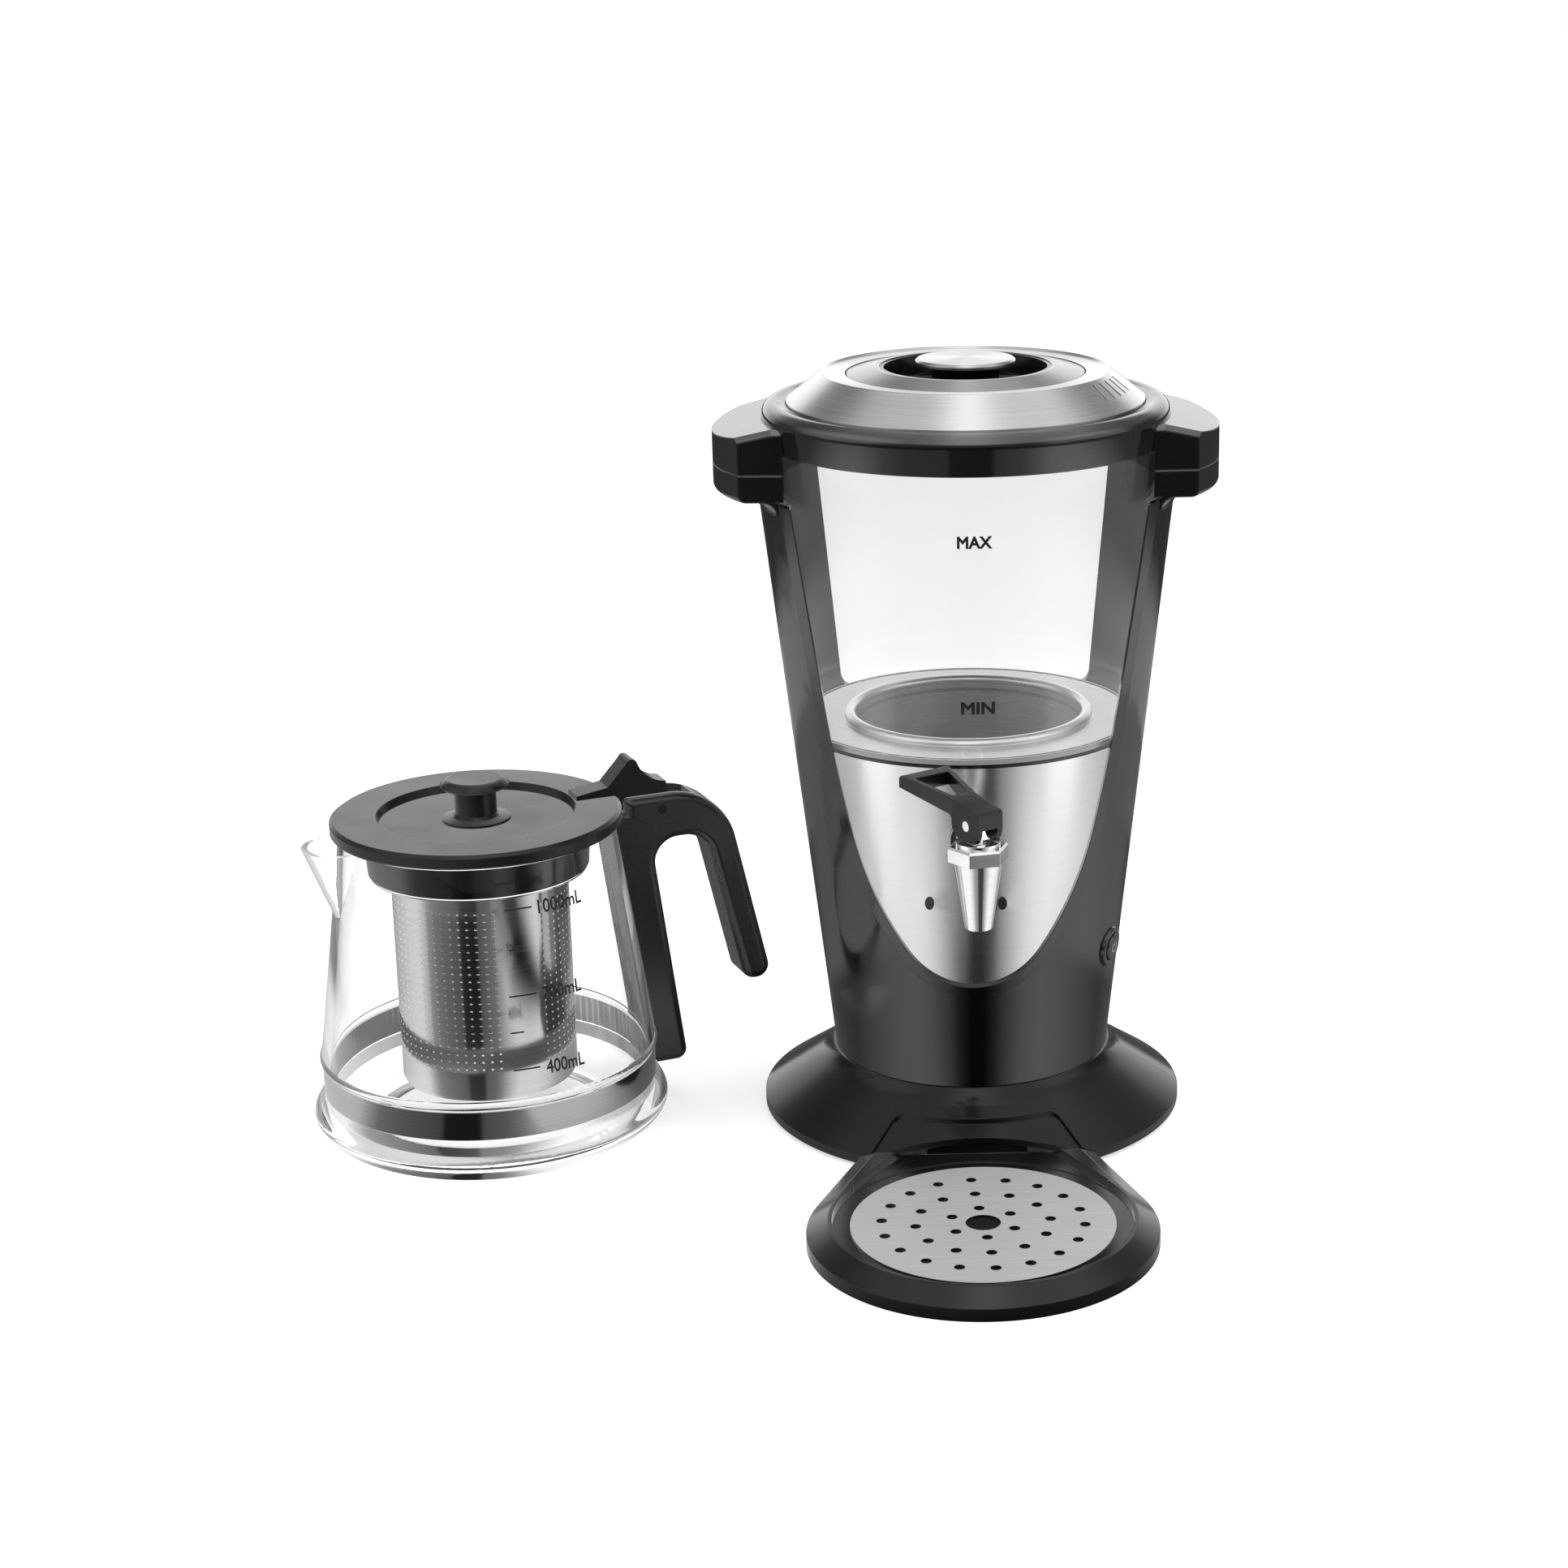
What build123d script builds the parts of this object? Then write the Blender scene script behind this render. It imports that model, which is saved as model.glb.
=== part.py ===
"""Electric samovar with a glass boiling tank, a tap, a drip tray and a glass teapot.

Millimetres. The origin is the centre of the base on the floor, +Z is up and the tap faces -Y.
"""

from math import atan2, cos, degrees, radians, sin, sqrt, tan
import os

from build123d import *

os.makedirs("parts", exist_ok=True)

# Clearances
seat_gap = 0.1
loose_gap = 0.3
running_gap = 0.05

# Conical outer shell
shell_foot_z = 24.3
shell_foot_r = 51.0
shell_top_r = 74.8
shell_wall = 2.4
rib_width = 3.9
rib_height = 1.3
opening_foot_z = 65.3
opening_knee_x = 23.2
opening_knee_rise = 11.9
opening_waist_x = 42.4
opening_waist_rise = 53.7
opening_shoulder_x = 51.0
opening_shoulder_rise = 96.7
opening_top_x = 64.1
opening_overrun = 14.6
rear_window_foot_z = 150.0
rear_window_foot_half = 48.2
rear_window_top_half = 56.8
rear_window_corner_r = 6.0

# Flared base
skirt_r = 78.2
skirt_foot_z = 0.8
skirt_rim_z = 4.9
skirt_neck_r = 56.5
skirt_neck_z = 19.2
skirt_lip = 1.0
skirt_wall = 3.2
skirt_inner_r = 46.8
notch_back_r = 61.2
notch_back_half = 28.0
notch_flare = 0.78
notch_depth = 2.0
notch_corner_r = 4.0
base_front_y = -66.0
bottom_plate_z = 1.0
bottom_plate_thick = 1.6
boss_circle_r = 63.0
boss_r = 4.0
boss_count = 4
boss_start_angle = 45.0
screw_r = 1.5
screw_head_r = 3.0
screw_head_thick = 1.1
foot_circle_r = 64.0
foot_r = 6.5
foot_count = 4
foot_start_angle = 30.0

# Drip tray
tray_y = -127.2
tray_r = 60.5
tray_rim_z = 4.6
tray_top_z = 9.2
tray_inner_r = 53.1
tray_ledge_z = 5.4
tray_floor_z = 2.0
tray_wing_half = 42.2
tray_wing_angle = 70.0
channel_half = 25.0
channel_flare_half = 45.0
channel_floor_z = 5.9
tongue_half = 18.0
tongue_length = 14.0
tongue_thick = 2.0
rail_thick = 2.0
rail_height = 2.8
grate_r = 45.5
grate_thick = 1.2
grate_hole_r = 1.9
grate_centre_r = 6.05
grate_pitch = 11.6
grate_turn = 5.0

# Steel jacket, boiling vessel and glass tank
jacket_foot_z = 26.0
jacket_wall = 0.8
trim_z = 148.6
trim_height = 3.2
trim_r = 62.2
plate_r = 59.4
plate_thick = 0.9
neck_outer_r = 45.5
neck_inner_r = 41.4
neck_rise = 2.6
vessel_wall = 0.9
vessel_floor_z = 74.0
vessel_floor_r = 40.2
vessel_corner_r = 7.0
tank_foot_r = 61.2
tank_top_r = 69.0
tank_height = 110.2
tank_wall = 1.8

# Heater, controls and cord outlet
heater_plate_r = 36.0
heater_plate_thick = 3.0
element_circle_r = 27.0
element_tube_r = 3.4
element_gap_angle = 40.0
thermostat_r = 9.0
thermostat_thick = 7.0
board_length = 56.0
board_width = 40.0
board_thick = 1.6
board_z = 30.0
relay_height = 12.0
capacitor_r = 4.0
capacitor_height = 9.0
element_end_length = 12.0
post_r = 3.2
gland_z = 12.0
gland_r = 5.5
gland_bore_r = 3.2
gland_reach = 9.0

# Collar and side handles
collar_drop = 8.5
collar_foot_r = 71.6
collar_belly_rise = 1.0
collar_r = 72.8
collar_rise = 5.6
collar_top_r = 66.4
collar_ledge_rise = 4.0
collar_ledge_r = 61.2
handle_upper_height = 16.0
handle_lower_height = 9.6
handle_reach = 90.6
handle_corner_x = 80.3
handle_front_y = -32.0
handle_rear_y = 36.0
handle_front_root_x = 60.0
handle_front_root_y = -33.0
handle_rear_root_x = 57.5
handle_rear_root_y = 43.0
handle_crease_x = 68.5
handle_outer_drop = 4.9
handle_under_round = 2.0
handle_root_round = 4.5
handle_edge_round = 2.4

# Lids
lid_rim_r = 63.9
lid_rim_rise = 0.5
lid_ridge_r = 51.3
lid_height = 9.9
lid_flat_drop = 0.7
lid_flat_r = 50.3
lid_bore_r = 42.8
lid_ledge_drop = 3.3
lid_ledge_r = 39.6
lid_sheet = 0.9
lid_skirt_r = 60.3
lid_skirt_depth = 10.1
gasket_thick = 0.6
gasket_height = 5.0
vent_count = 5
vent_first_angle = 55.0
vent_step_angle = 5.2
vent_length = 8.0
vent_width = 1.4
inner_lid_r = 42.3
inner_lid_drop = 0.2
cup_rim_r = 32.2
cup_rim_rise = 2.4
cup_r = 30.6
cup_depth = 9.9
cup_wall = 1.5
knob_post_r = 12.0
knob_post_height = 10.2
knob_cap_r = 17.8
knob_cap_thick = 2.6

# Power button and indicator lenses
button_z = 67.7
button_angle = 65.0
button_r = 5.0
button_proud = 1.7
button_travel = 1.2
bezel_r = 7.5
bezel_proud = 1.0
bezel_depth = 6.0
switch_depth = 6.0
lens_z = 96.5
lens_right_x = 10.0
lens_left_x = -16.0
lens_half_width = 1.6
lens_half_height = 2.45
lens_proud = 0.4

# Tap
tap_y = -103.0
nozzle_foot_z = 105.0
nozzle_top_z = 129.2
nozzle_foot_r = 4.7
nozzle_top_r = 8.25
nozzle_bore_r = 3.0
valve_seat_z = 115.5
chamber_r = 5.1
shank_z = 122.5
shank_r = 4.9
shank_bore_r = 2.6
shank_end_y = -36.0
flange_r = 8.5
flange_thick = 2.0
washer_thick = 1.5
nut_flat_half = 9.14
nut_height = 5.3
nut_turn = 12.0
guide_r = 5.6
guide_flange_r = 7.6
guide_flange_thick = 1.4
stem_r = 2.4
stem_cup_r = 4.2
stem_cup_thick = 2.4
lever_pin_z = 141.9
lever_pin_r = 1.8
lever_turn = 34.0
lever_head_back = 7.0
lever_tip = 32.0
lever_tilt = 60.0
lever_head_width = 10.3
lever_tip_width = 20.0
lever_head_top = 5.8
lever_tip_top = 11.1
lever_tip_thick = 4.3
lever_fork_drop = 5.2
lever_fork_reach = 8.0
fork_slot = 6.2
stem_block = 5.8
lock_nut_flat_half = 8.0
lock_nut_thick = 5.0

# Teapot
pot_x = -179.4
pot_y = -18.1
pot_turn = 23.0
pot_waist_r = 60.3
pot_foot_inset = 10.8
pot_foot_rise = 1.5
pot_foot_ring = 12.0
pot_bulge = 4.7
pot_bulge_z = 10.0
pot_waist_z = 19.0
pot_waist_height = 11.5
pot_bead = 1.5
pot_bead_height = 3.0
pot_cone_step = 0.7
pot_cone_foot_z = 34.0
pot_rim_inset = 10.6
pot_rim_z = 116.5
pot_wall = 2.2
pot_floor_z = 7.0
band_thick = 0.7
spout_length = 14.3
spout_mouth_r = 14.0
spout_root_z = 88.0
spout_root_r = 4.0
holder_drop = 14.0
holder_wall = 2.0
holder_taper = 1.0
holder_flange_inset = 1.1
holder_flange_width = 7.6
holder_flange_thick = 1.0
infuser_inset = 9.5
infuser_wall = 0.6
infuser_floor_z = 22.0
pot_lid_overhang = 2.8
pot_lid_thick = 5.0
pot_lid_rim_width = 17.5
pot_lid_recess = 2.9
pot_knob_foot_r = 12.5
pot_knob_post_r = 7.55
pot_knob_cap_r = 12.45
pot_knob_top_z = 135.0
pot_knob_cap_thick = 3.2
hinge_reach = 15.5
hinge_drop = 0.5
hinge_pin_r = 1.8
tab_width = 10.0
thumb_back = 12.0
thumb_height = 18.0
tab_slot_floor = 3.0
tab_slot_shift = 3.0
pot_handle_width = 18.0
strap_thick = 12.5
strap_foot_z = 15.5
arch_drop = 12.5
arch_span = 21.0
handle_arch_rise = 4.8
grip_splay = 14.0
grip_thick = 11.0
grip_root = 7.5
grip_end_z = 43.0
grip_edge_round = 3.0

# Heights stacked from the tank glass up
tank_foot_z = trim_z + trim_height
tank_top_z = tank_foot_z + tank_height
collar_foot_z = tank_top_z - collar_drop
collar_belly_z = tank_top_z + collar_belly_rise
collar_ledge_z = tank_top_z + collar_ledge_rise
collar_top_z = tank_top_z + collar_rise
handle_top_z = collar_belly_z
handle_split_z = handle_top_z - handle_upper_height
shell_top_z = handle_split_z - handle_lower_height
opening_top_rise = shell_top_z + opening_overrun - opening_foot_z
lid_rim_z = collar_top_z + lid_rim_rise
lid_ridge_z = lid_rim_z + lid_height
lid_flat_z = lid_ridge_z - lid_flat_drop
lid_ledge_z = lid_flat_z - lid_ledge_drop
lid_skirt_z = lid_rim_z - lid_skirt_depth
inner_lid_edge_z = lid_flat_z - inner_lid_drop
cup_rim_z = inner_lid_edge_z + cup_rim_rise
cup_floor_z = cup_rim_z - cup_depth
knob_post_z = cup_floor_z + knob_post_height

# Teapot sizes stepped from its waist and its rim
pot_foot_r = pot_waist_r - pot_foot_inset
pot_bulge_r = pot_waist_r + pot_bulge
pot_bead_r = pot_waist_r + pot_bead
pot_cone_foot_r = pot_waist_r + pot_cone_step
pot_rim_r = pot_waist_r - pot_rim_inset
spout_reach = pot_rim_r + spout_length
holder_flange_r = pot_rim_r - holder_flange_inset
holder_r = holder_flange_r - holder_flange_width
holder_foot_r = holder_r - holder_taper
holder_foot_z = pot_rim_z - holder_drop
infuser_r = holder_r - infuser_inset
pot_lid_r = pot_rim_r + pot_lid_overhang
pot_lid_recess_r = pot_lid_r - pot_lid_rim_width
hinge_r = pot_lid_r + hinge_reach
hinge_z = pot_rim_z - hinge_drop
arch_under_z = pot_rim_z - arch_drop
handle_arch_z = pot_rim_z + handle_arch_rise

shell_lean = (shell_top_r - shell_foot_r) / (shell_top_z - shell_foot_z)
lid_rise = (lid_ridge_z - lid_rim_z) / (lid_rim_r - lid_ridge_r)
pot_lean = (pot_cone_foot_r - pot_rim_r) / (pot_rim_z - pot_cone_foot_z)


def shell_r(z):
    return shell_foot_r + shell_lean * (z - shell_foot_z)


def jacket_r(z):
    return shell_r(z) - shell_wall - loose_gap


def tank_r(z):
    return tank_foot_r + (tank_top_r - tank_foot_r) * (z - tank_foot_z) / (tank_top_z - tank_foot_z)


def pot_cone_r(z):
    return pot_cone_foot_r - pot_lean * (z - pot_cone_foot_z)


def outline(*points, plane=Plane.XZ):
    """A closed flat outline through corner points."""
    with BuildSketch(plane) as drawn:
        with BuildLine():
            Polyline(*points, close=True)
        make_face()
    return drawn.sketch


def finish(piece, name):
    """Labels a piece and writes it as its own file."""
    piece.part.label = name
    export_step(piece.part, "parts/" + name + ".step")


def cone_layer(foot_z, top_z, inside, outside):
    """Outline of a layer of the shell's cone between two distances from its outer face."""
    return outline(
        (shell_r(foot_z) + inside, foot_z),
        (shell_r(foot_z) + outside, foot_z),
        (shell_r(top_z) + outside, top_z),
        (shell_r(top_z) + inside, top_z),
    )


# Front opening of the shell, drawn on the front plane as a chain of tangent arcs
opening_top_z = opening_foot_z + opening_top_rise
with BuildSketch(Plane.XZ) as front_opening:
    with BuildLine():
        foot_arc = TangentArc(
            (0, opening_foot_z), (opening_knee_x, opening_foot_z + opening_knee_rise), tangent=(1, 0)
        )
        knee_arc = TangentArc(
            foot_arc @ 1, (opening_waist_x, opening_foot_z + opening_waist_rise), tangent=foot_arc % 1
        )
        waist_arc = TangentArc(
            knee_arc @ 1, (opening_shoulder_x, opening_foot_z + opening_shoulder_rise), tangent=knee_arc % 1
        )
        TangentArc(waist_arc @ 1, (opening_top_x, opening_top_z), tangent=waist_arc % 1)
        Line((opening_top_x, opening_top_z), (0, opening_top_z))
        mirror(about=Plane.YZ)
    make_face()

with BuildSketch(Plane.XZ) as rib_band:
    add(front_opening.sketch)
    offset(amount=rib_width)
    add(front_opening.sketch, mode=Mode.SUBTRACT)

with BuildSketch(Plane.XZ) as rear_window:
    with BuildLine():
        Polyline(
            (-rear_window_foot_half, rear_window_foot_z),
            (rear_window_foot_half, rear_window_foot_z),
            (rear_window_top_half, shell_top_z + 1),
            (-rear_window_top_half, shell_top_z + 1),
            close=True,
        )
    make_face()
    fillet(rear_window.vertices().group_by(Axis.Y)[0], radius=rear_window_corner_r)

# Where the power button sits on the cone
button_out = (sin(radians(button_angle)), -cos(radians(button_angle)))
button_plane = Plane(
    origin=(shell_r(button_z) * button_out[0], shell_r(button_z) * button_out[1], button_z),
    x_dir=(-button_out[1], button_out[0], 0),
    z_dir=(button_out[0], button_out[1], -shell_lean),
)

# Outer shell with a raised rib round the front opening
with BuildPart() as shell_rib:
    revolve(cone_layer(shell_foot_z, shell_top_z, -shell_wall, rib_height), axis=Axis.Z)
    extrude(rib_band.sketch, amount=skirt_r, mode=Mode.INTERSECT)

with BuildPart() as outer_shell:
    revolve(cone_layer(shell_foot_z, shell_top_z, -shell_wall, 0), axis=Axis.Z)
    extrude(front_opening.sketch, amount=skirt_r, mode=Mode.SUBTRACT)
    extrude(rear_window.sketch, amount=-skirt_r, mode=Mode.SUBTRACT)
    add(shell_rib.part)
    with BuildSketch(button_plane):
        Circle(bezel_r)
    extrude(amount=2 * shell_wall, both=True, mode=Mode.SUBTRACT)
finish(outer_shell, "outer_shell")

# Flared base skirt with a recess and a flat front for the drip tray
skirt_slope = (skirt_neck_z - skirt_rim_z) / (skirt_r - skirt_neck_r)
skirt_drop = skirt_wall * sqrt(1 + skirt_slope**2)


def skirt_z(r):
    """Height of the sloping outer face of the base."""
    return skirt_rim_z + skirt_slope * (skirt_r - r)


with BuildSketch(Plane.XY) as notch_plan:
    with BuildLine():
        Polyline(
            (-notch_back_half, base_front_y / 2),
            (notch_back_half, base_front_y / 2),
            (notch_back_half, -notch_back_half * 1.9),
            (notch_back_half + notch_flare * (skirt_r - notch_back_half * 1.9), -skirt_r),
            (-notch_back_half - notch_flare * (skirt_r - notch_back_half * 1.9), -skirt_r),
            (-notch_back_half, -notch_back_half * 1.9),
            close=True,
        )
    make_face()

with BuildPart() as notch_tool:
    revolve(
        outline(
            (notch_back_r, skirt_z(notch_back_r) - notch_depth),
            (skirt_r + 1, skirt_z(skirt_r + 1) - notch_depth),
            (skirt_r + 1, shell_foot_z),
            (notch_back_r, shell_foot_z),
        ),
        axis=Axis.Z,
    )
    extrude(notch_plan.sketch, amount=2 * shell_foot_z, mode=Mode.INTERSECT)
    fillet(
        notch_tool.edges().filter_by(Axis.Z).group_by(Axis.Y)[-1],
        radius=notch_corner_r,
    )

plate_top_z = bottom_plate_z + bottom_plate_thick
screw_tip_z = skirt_z(boss_circle_r) - skirt_drop - 1

with BuildPart() as screw_bosses:
    with BuildSketch(Plane.XY.offset(plate_top_z)):
        with PolarLocations(boss_circle_r, boss_count, start_angle=boss_start_angle):
            Circle(boss_r)
    extrude(amount=shell_foot_z)
    revolve(
        outline(
            (skirt_inner_r, 0),
            (skirt_r, 0),
            (skirt_r, skirt_z(skirt_r) - skirt_drop / 2),
            (skirt_inner_r, skirt_z(skirt_inner_r) - skirt_drop / 2),
        ),
        axis=Axis.Z,
        mode=Mode.INTERSECT,
    )

with BuildPart() as base_skirt:
    with BuildSketch(Plane.XZ):
        with BuildLine():
            Polyline(
                (skirt_r - 1.0, skirt_foot_z),
                (skirt_r, skirt_foot_z + 0.8),
                (skirt_r, skirt_rim_z),
                (skirt_neck_r, skirt_neck_z),
            )
            TangentArc(
                (skirt_neck_r, skirt_neck_z),
                (shell_foot_r + skirt_lip, shell_foot_z),
                tangent=(-1, skirt_slope),
            )
            Polyline(
                (shell_foot_r + skirt_lip, shell_foot_z),
                (skirt_inner_r, shell_foot_z),
                (skirt_inner_r, skirt_z(skirt_inner_r + skirt_wall) - skirt_drop),
                (skirt_r - skirt_wall, skirt_z(skirt_r - skirt_wall) - skirt_drop),
                (skirt_r - skirt_wall, skirt_foot_z),
                (skirt_r - 1.0, skirt_foot_z),
            )
        make_face()
    revolve(axis=Axis.Z)
    add(screw_bosses.part)
    add(notch_tool.part, mode=Mode.SUBTRACT)
    with BuildSketch(Plane.XY.offset(plate_top_z)):
        with PolarLocations(boss_circle_r, boss_count, start_angle=boss_start_angle):
            Circle(screw_r)
    extrude(amount=screw_tip_z - plate_top_z, mode=Mode.SUBTRACT)
    with BuildSketch(Plane.XY):
        with Locations((0, base_front_y - skirt_r / 2)):
            Rectangle(3 * skirt_r, skirt_r)
    extrude(amount=shell_foot_z, mode=Mode.SUBTRACT)
    with BuildSketch(Plane.XZ.offset(-skirt_r)):
        with Locations((0, gland_z)):
            Circle(gland_r)
    extrude(amount=skirt_r - skirt_inner_r, mode=Mode.SUBTRACT)
finish(base_skirt, "base_skirt")

# Bottom plate with two rails that guide the tray's tongue
rail_x = tongue_half + loose_gap + rail_thick / 2
with BuildPart() as bottom_plate:
    with BuildSketch(Plane.XY.offset(bottom_plate_z)):
        Circle(skirt_r - skirt_wall - loose_gap)
        with PolarLocations(boss_circle_r, boss_count, start_angle=boss_start_angle):
            Circle(screw_r, mode=Mode.SUBTRACT)
    extrude(amount=bottom_plate_thick)
    with BuildSketch(Plane.XY.offset(plate_top_z)):
        with Locations(
            (-rail_x, base_front_y + tongue_length / 2),
            (rail_x, base_front_y + tongue_length / 2),
        ):
            Rectangle(rail_thick, tongue_length)
    extrude(amount=rail_height)
    with BuildSketch(Plane.XY.offset(bottom_plate_z)):
        with PolarLocations(boss_circle_r, boss_count, start_angle=boss_start_angle):
            Circle(screw_head_r)
    extrude(amount=screw_head_thick, mode=Mode.SUBTRACT)
    with BuildSketch(Plane.XY):
        with Locations((0, base_front_y - skirt_r / 2)):
            Rectangle(3 * skirt_r, skirt_r)
    extrude(amount=shell_foot_z, mode=Mode.SUBTRACT)
    with BuildSketch(Plane.XY.offset(plate_top_z)):
        with GridLocations(board_length - 8, board_width - 8, 2, 2):
            Circle(post_r)
    extrude(amount=board_z - plate_top_z)
finish(bottom_plate, "bottom_plate")

with BuildPart() as base_screws:
    with BuildSketch(Plane.XY.offset(bottom_plate_z)):
        with PolarLocations(boss_circle_r, boss_count, start_angle=boss_start_angle):
            Circle(screw_head_r)
    extrude(amount=screw_head_thick)
    with BuildSketch(Plane.XY.offset(bottom_plate_z)):
        with PolarLocations(boss_circle_r, boss_count, start_angle=boss_start_angle):
            Circle(screw_r)
    extrude(amount=screw_tip_z - bottom_plate_z)
finish(base_screws, "base_screws")

with BuildPart() as base_feet:
    with BuildSketch(Plane.XY):
        with PolarLocations(foot_circle_r, foot_count, start_angle=foot_start_angle):
            Circle(foot_r)
        Circle(foot_r)
    extrude(amount=bottom_plate_z)
    chamfer(base_feet.edges().group_by(Axis.Z)[0], length=0.3)
finish(base_feet, "base_feet")

# Drip tray: a round basin with two wings that run back to the base
wing_root_x = tray_r * sin(radians(tray_wing_angle))
wing_root_y = tray_y + tray_r * cos(radians(tray_wing_angle))
tray_back_y = base_front_y - loose_gap
tray_slope_angle = degrees(atan2(tray_r - tray_inner_r, tray_top_z - tray_rim_z))
tongue_z = plate_top_z + loose_gap

with BuildSketch(Plane.XY) as tray_plan:
    with Locations((0, tray_y)):
        Circle(tray_r)
    with BuildLine():
        Polyline(
            (-wing_root_x, wing_root_y),
            (-tray_wing_half, tray_back_y),
            (tray_wing_half, tray_back_y),
            (wing_root_x, wing_root_y),
            close=True,
        )
    make_face()

with BuildPart() as drip_tray:
    add(tray_plan.sketch)
    extrude(amount=tray_rim_z)
    extrude(
        tray_plan.sketch.moved(Location((0, 0, tray_rim_z))),
        amount=tray_top_z - tray_rim_z,
        taper=tray_slope_angle,
    )
    with BuildSketch(Plane.XY.offset(tray_ledge_z)):
        with Locations((0, tray_y)):
            Circle(tray_inner_r - 1.4)
    extrude(amount=tray_top_z, mode=Mode.SUBTRACT)
    with BuildSketch(Plane.XY.offset(channel_floor_z)):
        with BuildLine():
            Polyline(
                (-channel_half, tray_back_y + 1),
                (channel_half, tray_back_y + 1),
                (channel_flare_half, tray_y + tray_inner_r / 2),
                (-channel_flare_half, tray_y + tray_inner_r / 2),
                close=True,
            )
        make_face()
    extrude(amount=tray_top_z, mode=Mode.SUBTRACT)
    with BuildSketch(Plane.XY.offset(tray_floor_z)):
        with Locations((0, tray_y)):
            Circle(grate_r - 2)
    extrude(amount=tray_top_z, mode=Mode.SUBTRACT)
    with BuildSketch(Plane.XY.offset(tongue_z)):
        with Locations((0, tray_back_y + (tongue_length - 1) / 2 - 1)):
            Rectangle(2 * tongue_half, tongue_length + 1)
    extrude(amount=tongue_thick)
finish(drip_tray, "drip_tray")

with BuildPart() as drip_grate:
    with BuildSketch(Plane.XY.offset(tray_ledge_z)):
        with Locations(Location((0, tray_y, 0), (0, 0, grate_turn))):
            Circle(grate_r)
            Circle(grate_centre_r, mode=Mode.SUBTRACT)
            for ring in (1, 2, 3):
                with PolarLocations(ring * grate_pitch, 6 * ring, start_angle=90):
                    Circle(grate_hole_r, mode=Mode.SUBTRACT)
    extrude(amount=grate_thick)
finish(drip_grate, "drip_grate")

# Indicator lenses set in the steel jacket
with BuildSketch(Plane.XZ) as lens_plan:
    with Locations((lens_right_x, lens_z), (lens_left_x, lens_z)):
        Ellipse(lens_half_width, lens_half_height)

with BuildPart() as steel_jacket:
    revolve(
        outline(
            (jacket_r(jacket_foot_z) - jacket_wall, jacket_foot_z),
            (jacket_r(jacket_foot_z), jacket_foot_z),
            (jacket_r(trim_z), trim_z),
            (jacket_r(trim_z) - 3 * jacket_wall, trim_z),
            (jacket_r(trim_z) - 3 * jacket_wall, trim_z - jacket_wall),
            (jacket_r(trim_z) - jacket_wall, trim_z - jacket_wall),
        ),
        axis=Axis.Z,
    )
    extrude(lens_plan.sketch, amount=skirt_r, mode=Mode.SUBTRACT)
    with BuildSketch(Plane.XZ):
        with Locations((0, shank_z)):
            Circle(shank_r + seat_gap)
    extrude(amount=skirt_r, mode=Mode.SUBTRACT)
    with BuildSketch(button_plane):
        Circle(bezel_r + loose_gap)
    extrude(amount=-bezel_depth, mode=Mode.SUBTRACT)
finish(steel_jacket, "steel_jacket")

with BuildPart() as indicator_lenses:
    revolve(
        cone_layer(
            lens_z - 3 * lens_half_height,
            lens_z + 3 * lens_half_height,
            -shell_wall - loose_gap - 2 * jacket_wall,
            -shell_wall - loose_gap + lens_proud,
        ),
        axis=Axis.Z,
    )
    extrude(lens_plan.sketch, amount=skirt_r, mode=Mode.INTERSECT)
finish(indicator_lenses, "indicator_lenses")

# Trim ring that carries the glass and the edge of the steel plate
with BuildPart() as tank_trim_ring:
    revolve(
        outline(
            (plate_r - 4, trim_z),
            (trim_r, trim_z),
            (trim_r, tank_foot_z),
            (plate_r, tank_foot_z),
            (plate_r, tank_foot_z - plate_thick),
            (plate_r - 4, tank_foot_z - plate_thick),
        ),
        axis=Axis.Z,
    )
finish(tank_trim_ring, "tank_trim_ring")

# Boiling vessel with a rolled neck and a flat plate round it
with BuildPart() as boiling_vessel:
    with BuildSketch(Plane.XZ):
        with BuildLine():
            Polyline(
                (plate_r, tank_foot_z - plate_thick),
                (plate_r, tank_foot_z),
                (neck_outer_r, tank_foot_z),
            )
            ThreePointArc(
                (neck_outer_r, tank_foot_z),
                ((neck_outer_r + neck_inner_r) / 2, tank_foot_z + neck_rise),
                (neck_inner_r, tank_foot_z - 0.5),
            )
            Line(
                (neck_inner_r, tank_foot_z - 0.5),
                (vessel_floor_r - vessel_wall, vessel_floor_z + vessel_corner_r),
            )
            TangentArc(
                (vessel_floor_r - vessel_wall, vessel_floor_z + vessel_corner_r),
                (vessel_floor_r - vessel_wall - vessel_corner_r, vessel_floor_z + vessel_wall),
                tangent=(0, -1),
            )
            Polyline(
                (vessel_floor_r - vessel_wall - vessel_corner_r, vessel_floor_z + vessel_wall),
                (0, vessel_floor_z + vessel_wall),
                (0, vessel_floor_z),
                (vessel_floor_r - vessel_wall - vessel_corner_r, vessel_floor_z),
            )
            TangentArc(
                (vessel_floor_r - vessel_wall - vessel_corner_r, vessel_floor_z),
                (vessel_floor_r, vessel_floor_z + vessel_corner_r),
                tangent=(1, 0),
            )
            Polyline(
                (vessel_floor_r, vessel_floor_z + vessel_corner_r),
                (neck_inner_r + vessel_wall, tank_foot_z - plate_thick),
                (plate_r, tank_foot_z - plate_thick),
            )
        make_face()
    revolve(axis=Axis.Z)
    with BuildSketch(Plane.XZ):
        with Locations((0, shank_z)):
            Circle(shank_r + seat_gap)
    extrude(amount=skirt_r, mode=Mode.SUBTRACT)
finish(boiling_vessel, "boiling_vessel")

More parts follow.
